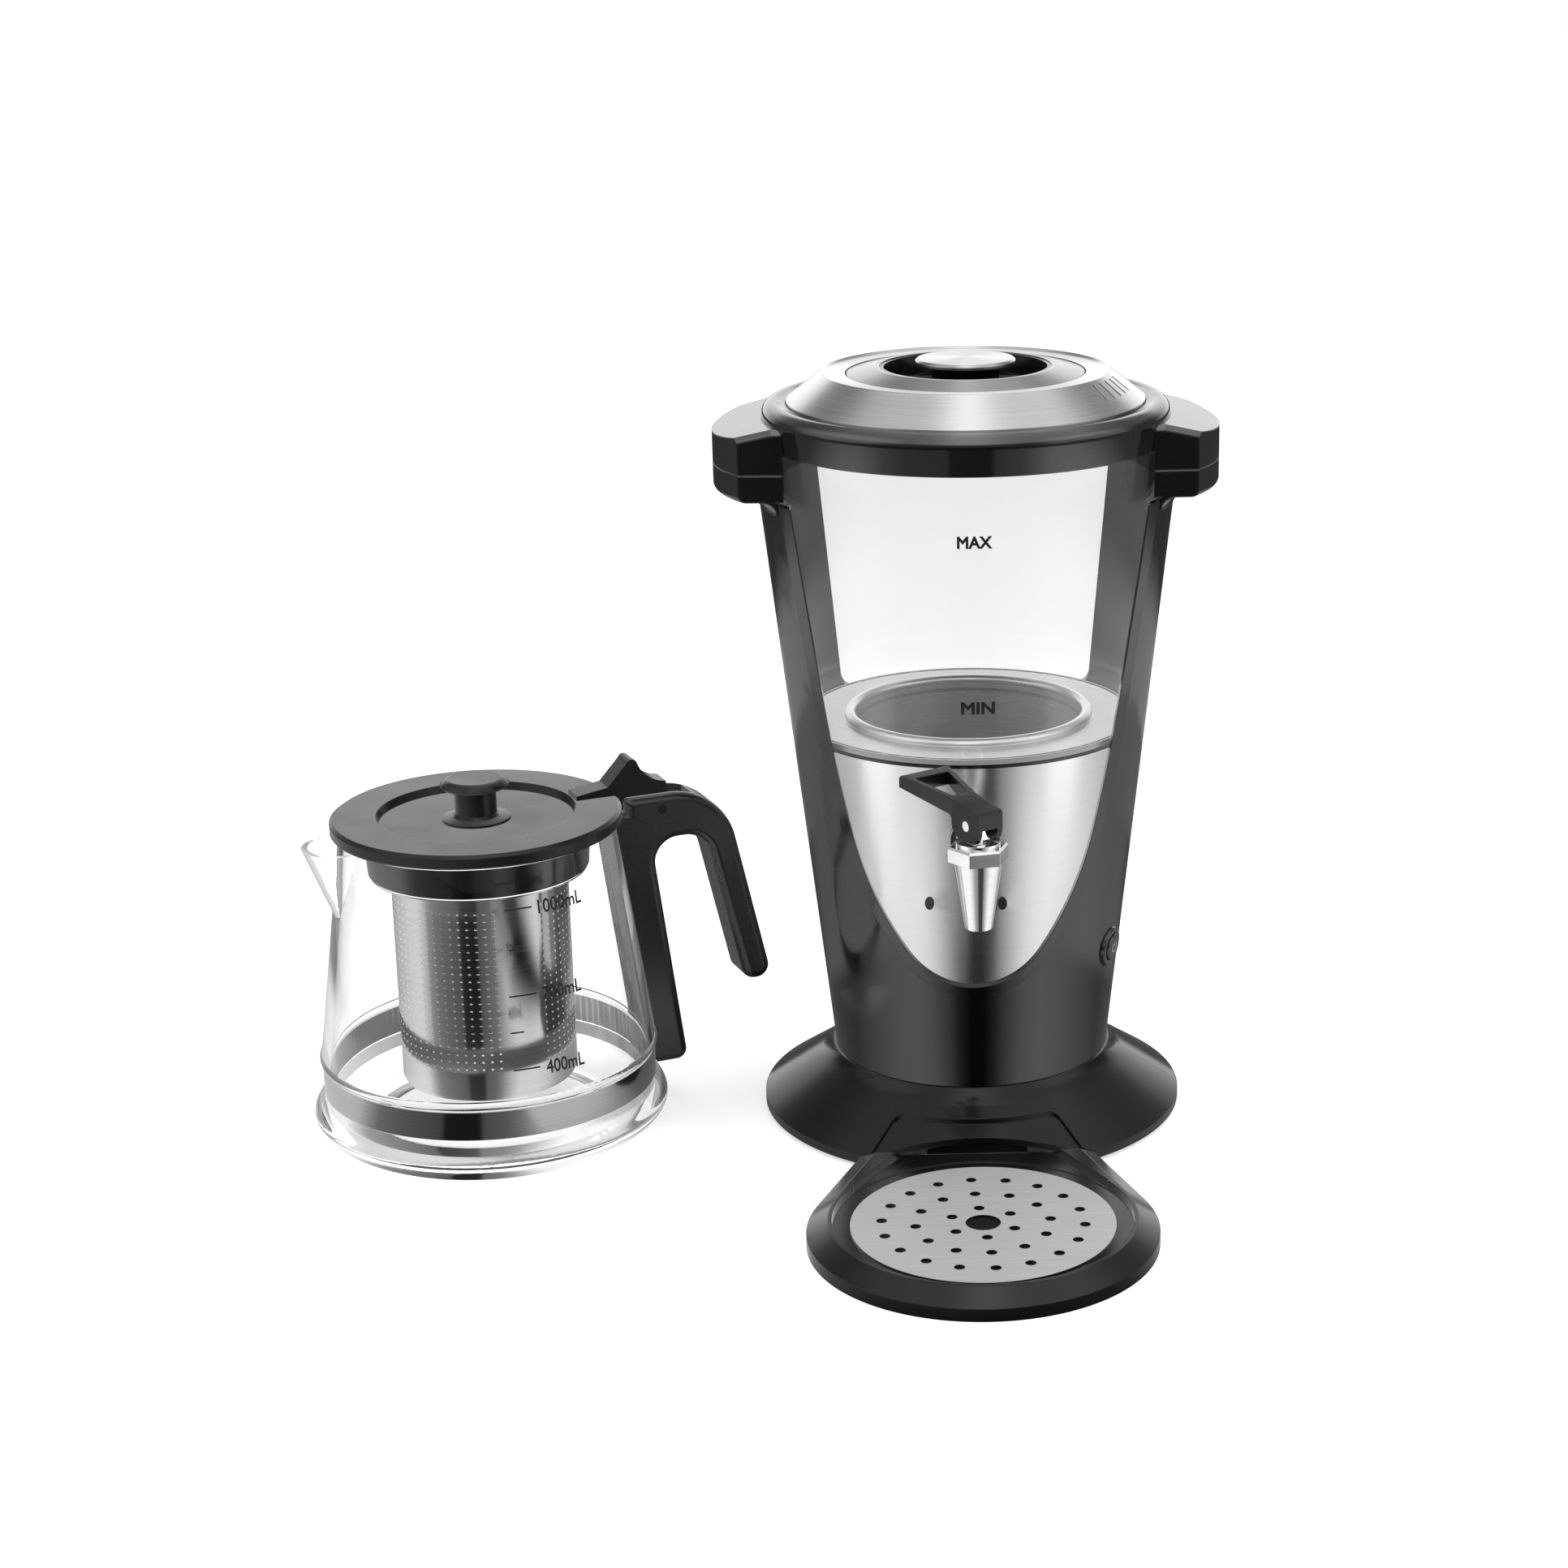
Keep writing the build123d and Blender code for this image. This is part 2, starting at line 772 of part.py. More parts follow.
# Clear glass wall of the tank
with BuildPart() as tank_glass:
    revolve(
        outline(
            (tank_foot_r - tank_wall, tank_foot_z),
            (tank_foot_r, tank_foot_z),
            (tank_top_r, tank_top_z),
            (tank_top_r - tank_wall, tank_top_z),
        ),
        axis=Axis.Z,
    )
finish(tank_glass, "tank_glass")

# Heater under the vessel
heater_z = vessel_floor_z - heater_plate_thick
with BuildPart() as heater_plate:
    with BuildSketch(Plane.XY.offset(heater_z)):
        Circle(heater_plate_r - vessel_corner_r / 2)
    extrude(amount=heater_plate_thick)
finish(heater_plate, "heater_plate")

element_z = heater_z - element_tube_r
with BuildPart() as heating_element:
    with BuildLine() as element_line:
        CenterArc((0, 0, element_z), element_circle_r, 90 + element_gap_angle / 2, 360 - element_gap_angle)
    with BuildSketch(Plane(origin=element_line.line @ 0, z_dir=element_line.line % 0)):
        Circle(element_tube_r)
    sweep(path=element_line.line)
    for end in (-1, 1):
        turn = radians(90 + end * element_gap_angle / 2)
        with BuildSketch(Plane.XY.offset(element_z)):
            with Locations((element_circle_r * cos(turn), element_circle_r * sin(turn))):
                Circle(element_tube_r - seat_gap)
        extrude(amount=-element_end_length)
finish(heating_element, "heating_element")

with BuildPart() as thermostat:
    with BuildSketch(Plane.XY.offset(heater_z)):
        Circle(thermostat_r)
    extrude(amount=-thermostat_thick / 2)
    with BuildSketch(Plane.XY.offset(heater_z - thermostat_thick / 2)):
        Rectangle(2 * thermostat_r, thermostat_r)
    extrude(amount=-thermostat_thick / 2)
    with BuildSketch(Plane.XY.offset(heater_z - thermostat_thick)):
        with GridLocations(thermostat_r, 0, 2, 1):
            Rectangle(0.8, thermostat_r / 2)
    extrude(amount=-thermostat_thick)
finish(thermostat, "thermostat")

with BuildPart() as control_board:
    with BuildSketch(Plane.XY.offset(board_z)):
        Rectangle(board_length, board_width)
    extrude(amount=board_thick)
    with BuildSketch(Plane.XY.offset(board_z + board_thick)):
        with Locations((-board_length * 0.29, board_width * 0.1)):
            Rectangle(board_length * 0.27, board_width * 0.45)
        with Locations((board_length * 0.25, board_width * 0.15)):
            Rectangle(board_length * 0.32, board_width * 0.3)
    extrude(amount=relay_height)
    with BuildSketch(Plane.XY.offset(board_z + board_thick)):
        with Locations((board_length * 0.29, -board_width / 4), (board_length * 0.07, -board_width / 4)):
            Circle(capacitor_r)
    extrude(amount=capacitor_height)
finish(control_board, "control_board")

# Cord outlet at the back of the base, left without its cord
gland_y = skirt_r - (gland_z - skirt_rim_z) / skirt_slope
with BuildPart() as cord_gland:
    with BuildSketch(Plane.XZ.offset(-gland_y + gland_reach)):
        with Locations((0, gland_z)):
            Circle(gland_r)
    extrude(amount=-2 * gland_reach + 2)
    with BuildSketch(Plane.XZ.offset(-gland_y + gland_reach)):
        with Locations((0, gland_z)):
            Circle(gland_bore_r)
    extrude(amount=-2 * gland_reach, mode=Mode.SUBTRACT)
finish(cord_gland, "cord_gland")

# Collar that clamps the glass and carries the lids
with BuildPart() as collar:
    with BuildSketch(Plane.XZ):
        with BuildLine():
            Line((tank_top_r + loose_gap, collar_foot_z), (collar_foot_r, collar_foot_z))
            Line((collar_foot_r, collar_foot_z), (collar_r, collar_belly_z))
            ThreePointArc(
                (collar_r, collar_belly_z),
                ((collar_r + collar_top_r) / 2 + 2.0, collar_top_z - 0.9),
                (collar_top_r, collar_top_z),
            )
            Polyline(
                (collar_top_r, collar_top_z),
                (lid_rim_r + loose_gap, collar_top_z - 0.3),
                (lid_rim_r + loose_gap, collar_ledge_z),
                (collar_ledge_r, collar_ledge_z),
                (collar_ledge_r, tank_top_z),
                (tank_top_r + loose_gap, tank_top_z),
                (tank_top_r + loose_gap, collar_foot_z),
            )
        make_face()
    revolve(axis=Axis.Z)
finish(collar, "collar")


# Side handles, each split into an upper and a lower half
def handle_plan(side):
    """Seen from above: flat front and rear faces joined by an outer arc."""
    with BuildSketch(Plane.XY) as drawn:
        with BuildLine():
            Polyline(
                (side * handle_corner_x, handle_rear_y),
                (side * handle_rear_root_x, handle_rear_root_y),
                (side * handle_rear_root_x, handle_rear_root_y / 2),
                (side * handle_front_root_x, handle_front_root_y / 2),
                (side * handle_front_root_x, handle_front_root_y),
                (side * handle_corner_x, handle_front_y),
            )
            ThreePointArc(
                (side * handle_corner_x, handle_front_y),
                (side * handle_reach, (handle_front_y + handle_rear_y) / 2),
                (side * handle_corner_x, handle_rear_y),
            )
        make_face()
    return drawn.sketch


for side, hand in ((-1, "left"), (1, "right")):
    with BuildPart() as handle_root:
        with BuildSketch(Plane.XZ):
            with BuildLine():
                CenterArc(
                    (shell_top_r + handle_root_round, shell_top_z - handle_root_round),
                    handle_root_round,
                    90,
                    90,
                )
                Polyline(
                    (shell_top_r, shell_top_z - handle_root_round),
                    (shell_r(shell_top_z - handle_root_round), shell_top_z - handle_root_round),
                    (shell_top_r, shell_top_z),
                    (shell_top_r + handle_root_round, shell_top_z),
                )
            make_face()
        revolve(axis=Axis.Z)
        extrude(handle_plan(side), amount=handle_top_z, mode=Mode.INTERSECT)
        add(shell_rib.part, mode=Mode.SUBTRACT)

    with BuildPart() as handle_lower:
        add(handle_plan(side).moved(Location((0, 0, shell_top_z))))
        extrude(amount=handle_split_z - shell_top_z)
        fillet(
            handle_lower.faces().sort_by(Axis.Z)[0].edges().sort_by(Axis.X, reverse=side > 0)[:1],
            radius=handle_under_round,
        )
        with BuildSketch(Plane.XY):
            Circle(shell_top_r - shell_wall)
        extrude(amount=tank_top_z, mode=Mode.SUBTRACT)
        add(handle_root.part)
    finish(handle_lower, hand + "_handle_lower")

    with BuildPart() as handle_upper:
        add(handle_plan(side).moved(Location((0, 0, handle_split_z))))
        extrude(amount=handle_top_z - handle_split_z)
        with BuildSketch(Plane.XZ):
            Polygon(
                (side * handle_crease_x, handle_top_z),
                (side * handle_reach, handle_top_z - handle_outer_drop),
                (side * handle_reach, handle_top_z),
                align=None,
            )
        extrude(amount=handle_reach, both=True, mode=Mode.SUBTRACT)
        ends = handle_upper.faces().sort_by(Axis.Y)
        fillet(
            (ends[0].edges() + ends[-1].edges()).filter_by(
                lambda edge: edge.center().Z > handle_top_z - handle_outer_drop
            ),
            radius=handle_edge_round,
        )
        with BuildSketch(Plane.XY):
            Circle(shell_top_r - shell_wall)
        extrude(amount=collar_foot_z, mode=Mode.SUBTRACT)
        revolve(
            outline(
                (0, collar_foot_z),
                (collar_foot_r, collar_foot_z),
                (collar_r, collar_belly_z),
                (0, collar_belly_z),
            ),
            axis=Axis.Z,
            mode=Mode.SUBTRACT,
        )
    finish(handle_upper, hand + "_handle_upper")

# Outer lid: a sheet-steel ring with a skirt inside the collar and vent slots
with BuildPart() as lid_ring:
    revolve(
        outline(
            (lid_rim_r, collar_ledge_z),
            (lid_rim_r, lid_rim_z),
            (lid_ridge_r, lid_ridge_z),
            (lid_flat_r, lid_flat_z),
            (lid_bore_r, lid_flat_z),
            (lid_bore_r, lid_ledge_z),
            (lid_ledge_r, lid_ledge_z),
            (lid_ledge_r, lid_ledge_z - lid_sheet),
            (lid_bore_r + lid_sheet, lid_ledge_z - lid_sheet),
            (lid_bore_r + lid_sheet, lid_flat_z - lid_sheet),
            (lid_flat_r + lid_sheet / 2, lid_flat_z - lid_sheet),
            (
                lid_skirt_r - lid_sheet,
                lid_rim_z + lid_rise * (lid_rim_r - lid_skirt_r + lid_sheet) - 1.3 * lid_sheet,
            ),
            (lid_skirt_r - lid_sheet, lid_skirt_z),
            (lid_skirt_r, lid_skirt_z),
            (lid_skirt_r, collar_ledge_z),
        ),
        axis=Axis.Z,
    )
    vent_r = (lid_skirt_r + lid_ridge_r) / 2
    for step in range(vent_count):
        turn = radians(vent_first_angle + step * vent_step_angle)
        with BuildSketch(
            Plane(
                origin=(vent_r * sin(turn), -vent_r * cos(turn), lid_rim_z + lid_rise * (lid_rim_r - vent_r)),
                x_dir=(sin(turn), -cos(turn), -lid_rise),
                z_dir=(sin(turn) * lid_rise, -cos(turn) * lid_rise, 1),
            )
        ):
            SlotOverall(vent_length, vent_width)
        extrude(amount=2 * lid_sheet, both=True, mode=Mode.SUBTRACT)
finish(lid_ring, "lid_ring")

with BuildPart() as lid_gasket:
    revolve(
        outline(
            (lid_skirt_r, lid_skirt_z + 1),
            (lid_skirt_r + gasket_thick, lid_skirt_z + 1),
            (lid_skirt_r + gasket_thick, lid_skirt_z + 1 + gasket_height),
            (lid_skirt_r, lid_skirt_z + 1 + gasket_height),
        ),
        axis=Axis.Z,
    )
finish(lid_gasket, "lid_gasket")

# Inner lid: a steel ring round a black finger cup with a capped knob
with BuildPart() as inner_lid:
    revolve(
        outline(
            (inner_lid_r, lid_ledge_z),
            (inner_lid_r, inner_lid_edge_z),
            (cup_rim_r, cup_rim_z),
            (cup_r, cup_rim_z),
            (cup_r, cup_rim_z - 4 * lid_sheet),
            (cup_r + lid_sheet, cup_rim_z - 4 * lid_sheet),
            (cup_r + lid_sheet, cup_rim_z - lid_sheet),
            (inner_lid_r - lid_sheet, inner_lid_edge_z - lid_sheet),
            (inner_lid_r - lid_sheet, lid_ledge_z),
        ),
        axis=Axis.Z,
    )
finish(inner_lid, "inner_lid")

with BuildPart() as lid_finger_cup:
    with BuildSketch(Plane.XZ):
        with BuildLine():
            Polyline(
                (0, cup_floor_z - cup_wall),
                (cup_r - 3, cup_floor_z - cup_wall),
                (cup_r, cup_floor_z + 2),
                (cup_r, cup_rim_z - 0.3),
                (cup_r - cup_wall, cup_rim_z - 0.3),
                (cup_r - cup_wall - 1, cup_floor_z + 3),
            )
            ThreePointArc(
                (cup_r - cup_wall - 1, cup_floor_z + 3),
                (cup_r - cup_wall - 2.2, cup_floor_z + 0.8),
                (cup_r - cup_wall - 5, cup_floor_z),
            )
            Polyline(
                (cup_r - cup_wall - 5, cup_floor_z),
                (knob_post_r + 1.2, cup_floor_z),
                (knob_post_r, cup_floor_z + 1.2),
                (knob_post_r, knob_post_z),
                (0, knob_post_z),
                (0, cup_floor_z - cup_wall),
            )
        make_face()
    revolve(axis=Axis.Z)
    with BuildSketch(Plane.XY.offset(cup_floor_z - cup_wall)):
        Circle(screw_head_r)
    extrude(amount=screw_head_thick, mode=Mode.SUBTRACT)
    with BuildSketch(Plane.XY.offset(cup_floor_z - cup_wall)):
        Circle(screw_r)
    extrude(amount=knob_post_z - cup_floor_z, mode=Mode.SUBTRACT)
finish(lid_finger_cup, "lid_finger_cup")

with BuildPart() as lid_knob_screw:
    with BuildSketch(Plane.XY.offset(cup_floor_z - cup_wall)):
        Circle(screw_head_r)
    extrude(amount=screw_head_thick)
    with BuildSketch(Plane.XY.offset(cup_floor_z - cup_wall)):
        Circle(screw_r)
    extrude(amount=knob_post_z - cup_floor_z)
finish(lid_knob_screw, "lid_knob_screw")

with BuildPart() as lid_knob_cap:
    with BuildSketch(Plane.XZ):
        with BuildLine():
            Polyline(
                (0, knob_post_z + knob_cap_thick),
                (0, knob_post_z),
                (knob_cap_r - 0.8, knob_post_z),
                (knob_cap_r, knob_post_z + 0.6),
                (knob_cap_r, knob_post_z + 0.6 * knob_cap_thick),
            )
            ThreePointArc(
                (knob_cap_r, knob_post_z + 0.6 * knob_cap_thick),
                (knob_cap_r - 0.5, knob_post_z + 0.8 * knob_cap_thick),
                (knob_cap_r - 1.8, knob_post_z + 0.9 * knob_cap_thick),
            )
            Line((knob_cap_r - 1.8, knob_post_z + 0.9 * knob_cap_thick), (0, knob_post_z + knob_cap_thick))
        make_face()
    revolve(axis=Axis.Z)
finish(lid_knob_cap, "lid_knob_cap")

# Power button in its bezel, with the switch behind it
with BuildPart() as button_bezel:
    with BuildSketch(button_plane.offset(-bezel_depth)):
        Circle(bezel_r)
        Circle(button_r + running_gap, mode=Mode.SUBTRACT)
    extrude(amount=bezel_depth + bezel_proud)
    chamfer(
        button_bezel.faces().sort_by(Axis((0, 0, 0), button_plane.z_dir))[-1].edges(),
        length=0.4,
    )
finish(button_bezel, "button_bezel")

with BuildPart() as power_button:
    with BuildSketch(button_plane.offset(-bezel_depth + button_travel + loose_gap)):
        Circle(button_r)
    extrude(amount=bezel_depth + button_proud - button_travel - loose_gap)
    chamfer(
        power_button.faces().sort_by(Axis((0, 0, 0), button_plane.z_dir))[-1].edges(),
        length=0.5,
    )
finish(power_button, "power_button")

with BuildPart() as button_switch:
    with BuildSketch(button_plane.offset(-bezel_depth)):
        Circle(bezel_r)
    extrude(amount=-switch_depth)
    with BuildSketch(button_plane.offset(-bezel_depth - switch_depth)):
        with GridLocations(bezel_r * 0.8, 0, 2, 1):
            Rectangle(0.8, 3)
    extrude(amount=-3)
finish(button_switch, "button_switch")

# Tap body: nozzle, arm, flange and the tail that goes through the jacket into the vessel
panel_y = -jacket_r(shank_z)
with BuildPart() as tap_body:
    revolve(
        outline(
            (0, nozzle_foot_z),
            (nozzle_foot_r, nozzle_foot_z),
            (nozzle_top_r, nozzle_top_z),
            (0, nozzle_top_z),
        ).moved(Location((0, tap_y, 0))),
        axis=Axis((0, tap_y, 0), (0, 0, 1)),
    )
    with BuildSketch(Plane.XZ.offset(-shank_end_y)):
        with Locations((0, shank_z)):
            Circle(shank_r)
    extrude(amount=shank_end_y - tap_y)
    with BuildSketch(Plane.XZ.offset(-panel_y + washer_thick)):
        with Locations((0, shank_z)):
            Circle(flange_r)
    extrude(amount=flange_thick)
    with BuildSketch(Plane.XY.offset(valve_seat_z)):
        with Locations((0, tap_y)):
            Circle(chamber_r)
    extrude(amount=nozzle_top_z - valve_seat_z, mode=Mode.SUBTRACT)
    with BuildSketch(Plane.XY.offset(nozzle_foot_z)):
        with Locations((0, tap_y)):
            Circle(nozzle_bore_r)
    extrude(amount=valve_seat_z - nozzle_foot_z, mode=Mode.SUBTRACT)
    with BuildSketch(Plane.XZ.offset(-shank_end_y)):
        with Locations((0, shank_z)):
            Circle(shank_bore_r)
    extrude(amount=shank_end_y - tap_y, mode=Mode.SUBTRACT)
finish(tap_body, "tap_body")

with BuildPart() as tap_washer:
    with BuildSketch(Plane.XZ.offset(-panel_y - 2)):
        with Locations((0, shank_z)):
            Circle(flange_r)
            Circle(shank_r, mode=Mode.SUBTRACT)
    extrude(amount=washer_thick + 2)
    revolve(
        cone_layer(shank_z - 2 * flange_r, shank_z + 2 * flange_r, -shell_foot_r, -shell_wall - loose_gap),
        axis=Axis.Z,
        mode=Mode.SUBTRACT,
    )
finish(tap_washer, "tap_washer")

with BuildPart() as tap_lock_nut:
    with BuildSketch(Plane.XZ.offset(-panel_y - lock_nut_thick)):
        with Locations((0, shank_z)):
            RegularPolygon(lock_nut_flat_half, 6, major_radius=False)
            Circle(shank_r, mode=Mode.SUBTRACT)
    extrude(amount=lock_nut_thick)
    revolve(
        cone_layer(shank_z - 2 * flange_r, shank_z + 2 * flange_r, -shell_wall - loose_gap - jacket_wall, 0),
        axis=Axis.Z,
        mode=Mode.SUBTRACT,
    )
finish(tap_lock_nut, "tap_lock_nut")

with BuildPart() as tap_vessel_seal:
    with BuildSketch(Plane.XZ.offset(neck_inner_r - 4)):
        with Locations((0, shank_z)):
            Circle(flange_r)
            Circle(shank_r, mode=Mode.SUBTRACT)
    extrude(amount=7)
    with BuildSketch(Plane.XZ):
        with BuildLine():
            Polyline(
                (0, shank_z + 2 * flange_r),
                (0, shank_z - 2 * flange_r),
                (vessel_floor_r, vessel_floor_z + vessel_corner_r),
                (neck_inner_r + vessel_wall, tank_foot_z - plate_thick),
                close=True,
            )
        make_face()
    revolve(axis=Axis.Z, mode=Mode.SUBTRACT)
finish(tap_vessel_seal, "tap_vessel_seal")

# Hexagon nut that holds the turning guide on the tap
nut_top_z = nozzle_top_z + nut_height
with BuildPart() as tap_bonnet_nut:
    with BuildSketch(Plane.XY.offset(nozzle_top_z)):
        with Locations(Location((0, tap_y, 0), (0, 0, nut_turn))):
            RegularPolygon(nut_flat_half, 6, major_radius=False)
        with Locations((0, tap_y)):
            Circle(guide_r + running_gap, mode=Mode.SUBTRACT)
    extrude(amount=nut_height)
    chamfer(
        tap_bonnet_nut.faces().sort_by(Axis.Z)[-1].outer_wire().edges(),
        length=0.7,
    )
finish(tap_bonnet_nut, "tap_bonnet_nut")

with BuildPart() as tap_guide:
    with BuildSketch(Plane.XY.offset(nozzle_top_z)):
        with Locations((0, tap_y)):
            Circle(guide_r)
    extrude(amount=nut_height)
    with BuildSketch(Plane.XY.offset(nut_top_z)):
        with Locations((0, tap_y)):
            Circle(guide_flange_r)
    extrude(amount=guide_flange_thick)
    with BuildSketch(Plane.XY.offset(nozzle_top_z)):
        with Locations((0, tap_y)):
            Circle(stem_r + running_gap)
    extrude(amount=nut_height + guide_flange_thick, mode=Mode.SUBTRACT)
finish(tap_guide, "tap_guide")

# Lever frame: x runs along the lever, y is up and z is the pin's axis
lever_out = (-sin(radians(lever_turn)), cos(radians(lever_turn)))
lever_side = Plane(
    origin=(0, tap_y, lever_pin_z),
    x_dir=(lever_out[0], lever_out[1], 0),
    z_dir=(lever_out[1], -lever_out[0], 0),
)
lever_top = Plane(
    origin=(0, tap_y, lever_pin_z),
    x_dir=(lever_out[0], lever_out[1], 0),
    z_dir=(0, 0, 1),
)

with BuildPart() as tap_stem:
    with BuildSketch(Plane.XY.offset(valve_seat_z + stem_cup_thick)):
        with Locations((0, tap_y)):
            Circle(stem_r)
    extrude(amount=lever_pin_z - valve_seat_z - stem_cup_thick)
    with BuildSketch(lever_side):
        Circle(stem_block / 2)
        with Locations((0, -lever_fork_drop / 2)):
            Rectangle(stem_block, lever_fork_drop)
    extrude(amount=stem_block / 2, both=True)
    with BuildSketch(lever_side):
        Circle(lever_pin_r)
    extrude(amount=stem_block, both=True, mode=Mode.SUBTRACT)
finish(tap_stem, "tap_stem")

with BuildPart() as tap_valve_cup:
    with BuildSketch(Plane.XY.offset(valve_seat_z)):
        with Locations((0, tap_y)):
            Circle(stem_cup_r)
    extrude(amount=stem_cup_thick)
finish(tap_valve_cup, "tap_valve_cup")

with BuildPart() as tap_pin:
    with BuildSketch(lever_side):
        Circle(lever_pin_r)
    extrude(amount=lever_head_width / 2, both=True)
finish(tap_pin, "tap_pin")

# The head's back is round about the pin, and the stem passes through it at full tilt
lever_foot_back = sqrt(lever_head_back**2 - lever_fork_drop**2)
stem_room = (stem_block / 2 + loose_gap) / sin(radians(lever_tilt))
with BuildPart() as tap_lever:
    with BuildSketch(lever_side):
        with BuildLine():
            Polyline(
                (lever_fork_reach * 0.5, -lever_fork_drop),
                (-lever_foot_back, -lever_fork_drop),
            )
            RadiusArc((-lever_foot_back, -lever_fork_drop), (-lever_head_back, 0), lever_head_back)
            Polyline(
                (-lever_head_back, 0),
                (-lever_head_back, lever_head_top - 0.8),
                (-lever_head_back + 0.8, lever_head_top),
                (lever_tip - 1.0, lever_tip_top),
                (lever_tip, lever_tip_top - 1.0),
                (lever_tip, lever_tip_top - lever_tip_thick),
                (lever_fork_reach + 1.0, lever_head_top - 3.6),
                (lever_fork_reach, lever_head_top - 5.0),
            )
            ThreePointArc(
                (lever_fork_reach, lever_head_top - 5.0),
                (lever_fork_reach * 0.85, -lever_fork_drop * 0.7),
                (lever_fork_reach * 0.5, -lever_fork_drop),
            )
        make_face()
    extrude(amount=lever_tip_width / 2, both=True)
    with BuildSketch(lever_top.offset(-lever_fork_drop)):
        with BuildLine():
            Polyline(
                (-lever_head_back, -lever_head_width / 2),
                (lever_fork_reach, -lever_head_width / 2),
                (lever_tip, -lever_tip_width / 2),
                (lever_tip, lever_tip_width / 2),
                (lever_fork_reach, lever_head_width / 2),
                (-lever_head_back, lever_head_width / 2),
                close=True,
            )
        make_face()
    extrude(amount=2 * lever_tip_top, mode=Mode.INTERSECT)
    with BuildSketch(lever_top.offset(-lever_fork_drop)):
        with Locations(((lever_fork_reach - 1.5 - lever_head_back + 1.0) / 2, 0)):
            Rectangle(lever_fork_reach - 1.5 + lever_head_back - 1.0, fork_slot)
    extrude(amount=lever_fork_drop + lever_pin_r + 1.6, mode=Mode.SUBTRACT)
    with BuildSketch(lever_side):
        with BuildLine():
            Polyline(
                (0, stem_room),
                (-2 * lever_head_back, stem_room - 2 * lever_head_back / tan(radians(lever_tilt))),
                (-2 * lever_head_back, -2 * lever_head_back),
                (0, -2 * lever_head_back),
                close=True,
            )
        make_face()
    extrude(amount=fork_slot / 2, both=True, mode=Mode.SUBTRACT)
    with BuildSketch(lever_top):
        with BuildLine():
            Polyline(
                (lever_fork_reach + 2, -lever_head_width / 2 + 2),
                (lever_tip - 5, -lever_tip_width / 2 + 3),
                (lever_tip - 5, lever_tip_width / 2 - 3),
                (lever_fork_reach + 2, lever_head_width / 2 - 2),
                close=True,
            )
        make_face()
    extrude(amount=2 * lever_tip_top, mode=Mode.SUBTRACT)
    with BuildSketch(lever_side):
        Circle(lever_pin_r + running_gap / 2)
    extrude(amount=lever_head_width, both=True, mode=Mode.SUBTRACT)
finish(tap_lever, "tap_lever")

# Teapot frame: x runs along the handle and y is up on the side plane
pot_side = Plane(
    origin=(pot_x, pot_y, 0),
    x_dir=(cos(radians(pot_turn)), sin(radians(pot_turn)), 0),
    z_dir=(sin(radians(pot_turn)), -cos(radians(pot_turn)), 0),
)
pot_top = Plane(
    origin=(pot_x, pot_y, 0),
    x_dir=(cos(radians(pot_turn)), sin(radians(pot_turn)), 0),
    z_dir=(0, 0, 1),
)
pot_axis = Axis((pot_x, pot_y, 0), (0, 0, 1))
waist_top_z = pot_waist_z + pot_waist_height

with BuildPart() as pot_glass:
    with BuildSketch(pot_side):
        with BuildLine():
            Line((0, pot_foot_rise), (pot_foot_r - pot_foot_ring, pot_foot_rise))
            Spline(
                (pot_foot_r - pot_foot_ring, pot_foot_rise),
                (pot_foot_r - 4, 0),
                (pot_bulge_r, pot_bulge_z),
                (pot_waist_r, pot_waist_z),
                tangents=((1, 0), (-1, 1.4)),
            )
            Line((pot_waist_r, pot_waist_z), (pot_waist_r, waist_top_z))
            ThreePointArc(
                (pot_waist_r, waist_top_z),
                (pot_bead_r, waist_top_z + pot_bead_height / 2),
                (pot_cone_foot_r, waist_top_z + pot_bead_height),
            )
            Polyline(
                (pot_cone_foot_r, waist_top_z + pot_bead_height),
                (pot_cone_foot_r, pot_cone_foot_z),
                (pot_rim_r, pot_rim_z),
                (0, pot_rim_z),
                (0, 1.5),
            )
        make_face()
    revolve(axis=pot_axis)
    with BuildSketch(pot_top.offset(spout_root_z)) as spout_root:
        with Locations((-pot_cone_r(spout_root_z) + spout_root_r + 0.5, 0)):
            Circle(spout_root_r)
    with BuildSketch(pot_top.offset(pot_rim_z)) as spout_mouth:
        with Locations((-spout_reach + spout_mouth_r, 0)):
            Circle(spout_mouth_r)
    loft()
    with BuildSketch(pot_side):
        with BuildLine():
            Line((0, pot_floor_z), (pot_foot_r - 6, pot_floor_z))
            Spline(
                (pot_foot_r - 6, pot_floor_z),
                (pot_waist_r - pot_wall - 1, pot_bulge_z + 3),
                (pot_waist_r - pot_wall, pot_waist_z + 3),
                tangents=((1, 0), (0, 1)),
            )
            Polyline(
                (pot_waist_r - pot_wall, pot_waist_z + 3),
                (pot_waist_r - pot_wall, pot_cone_foot_z - 2),
                (pot_rim_r - pot_wall, pot_rim_z),
                (0, pot_rim_z),
                (0, pot_floor_z),
            )
        make_face()
    revolve(axis=pot_axis, mode=Mode.SUBTRACT)
    with BuildSketch(pot_top.offset(spout_root_z + pot_wall)):
        with Locations((-pot_cone_r(spout_root_z) + spout_root_r + 0.5, 0)):
            Circle(spout_root_r - pot_wall / 2)
    with BuildSketch(pot_top.offset(pot_rim_z)):
        with Locations((-spout_reach + spout_mouth_r, 0)):
            Circle(spout_mouth_r - pot_wall)
    loft(mode=Mode.SUBTRACT)
finish(pot_glass, "pot_glass")

with BuildPart() as pot_band:
    with BuildSketch(pot_side):
        with Locations((pot_waist_r + band_thick / 2, pot_waist_z + pot_waist_height / 2)):
            Rectangle(band_thick, pot_waist_height - 1)
    revolve(axis=pot_axis)
finish(pot_band, "pot_band")

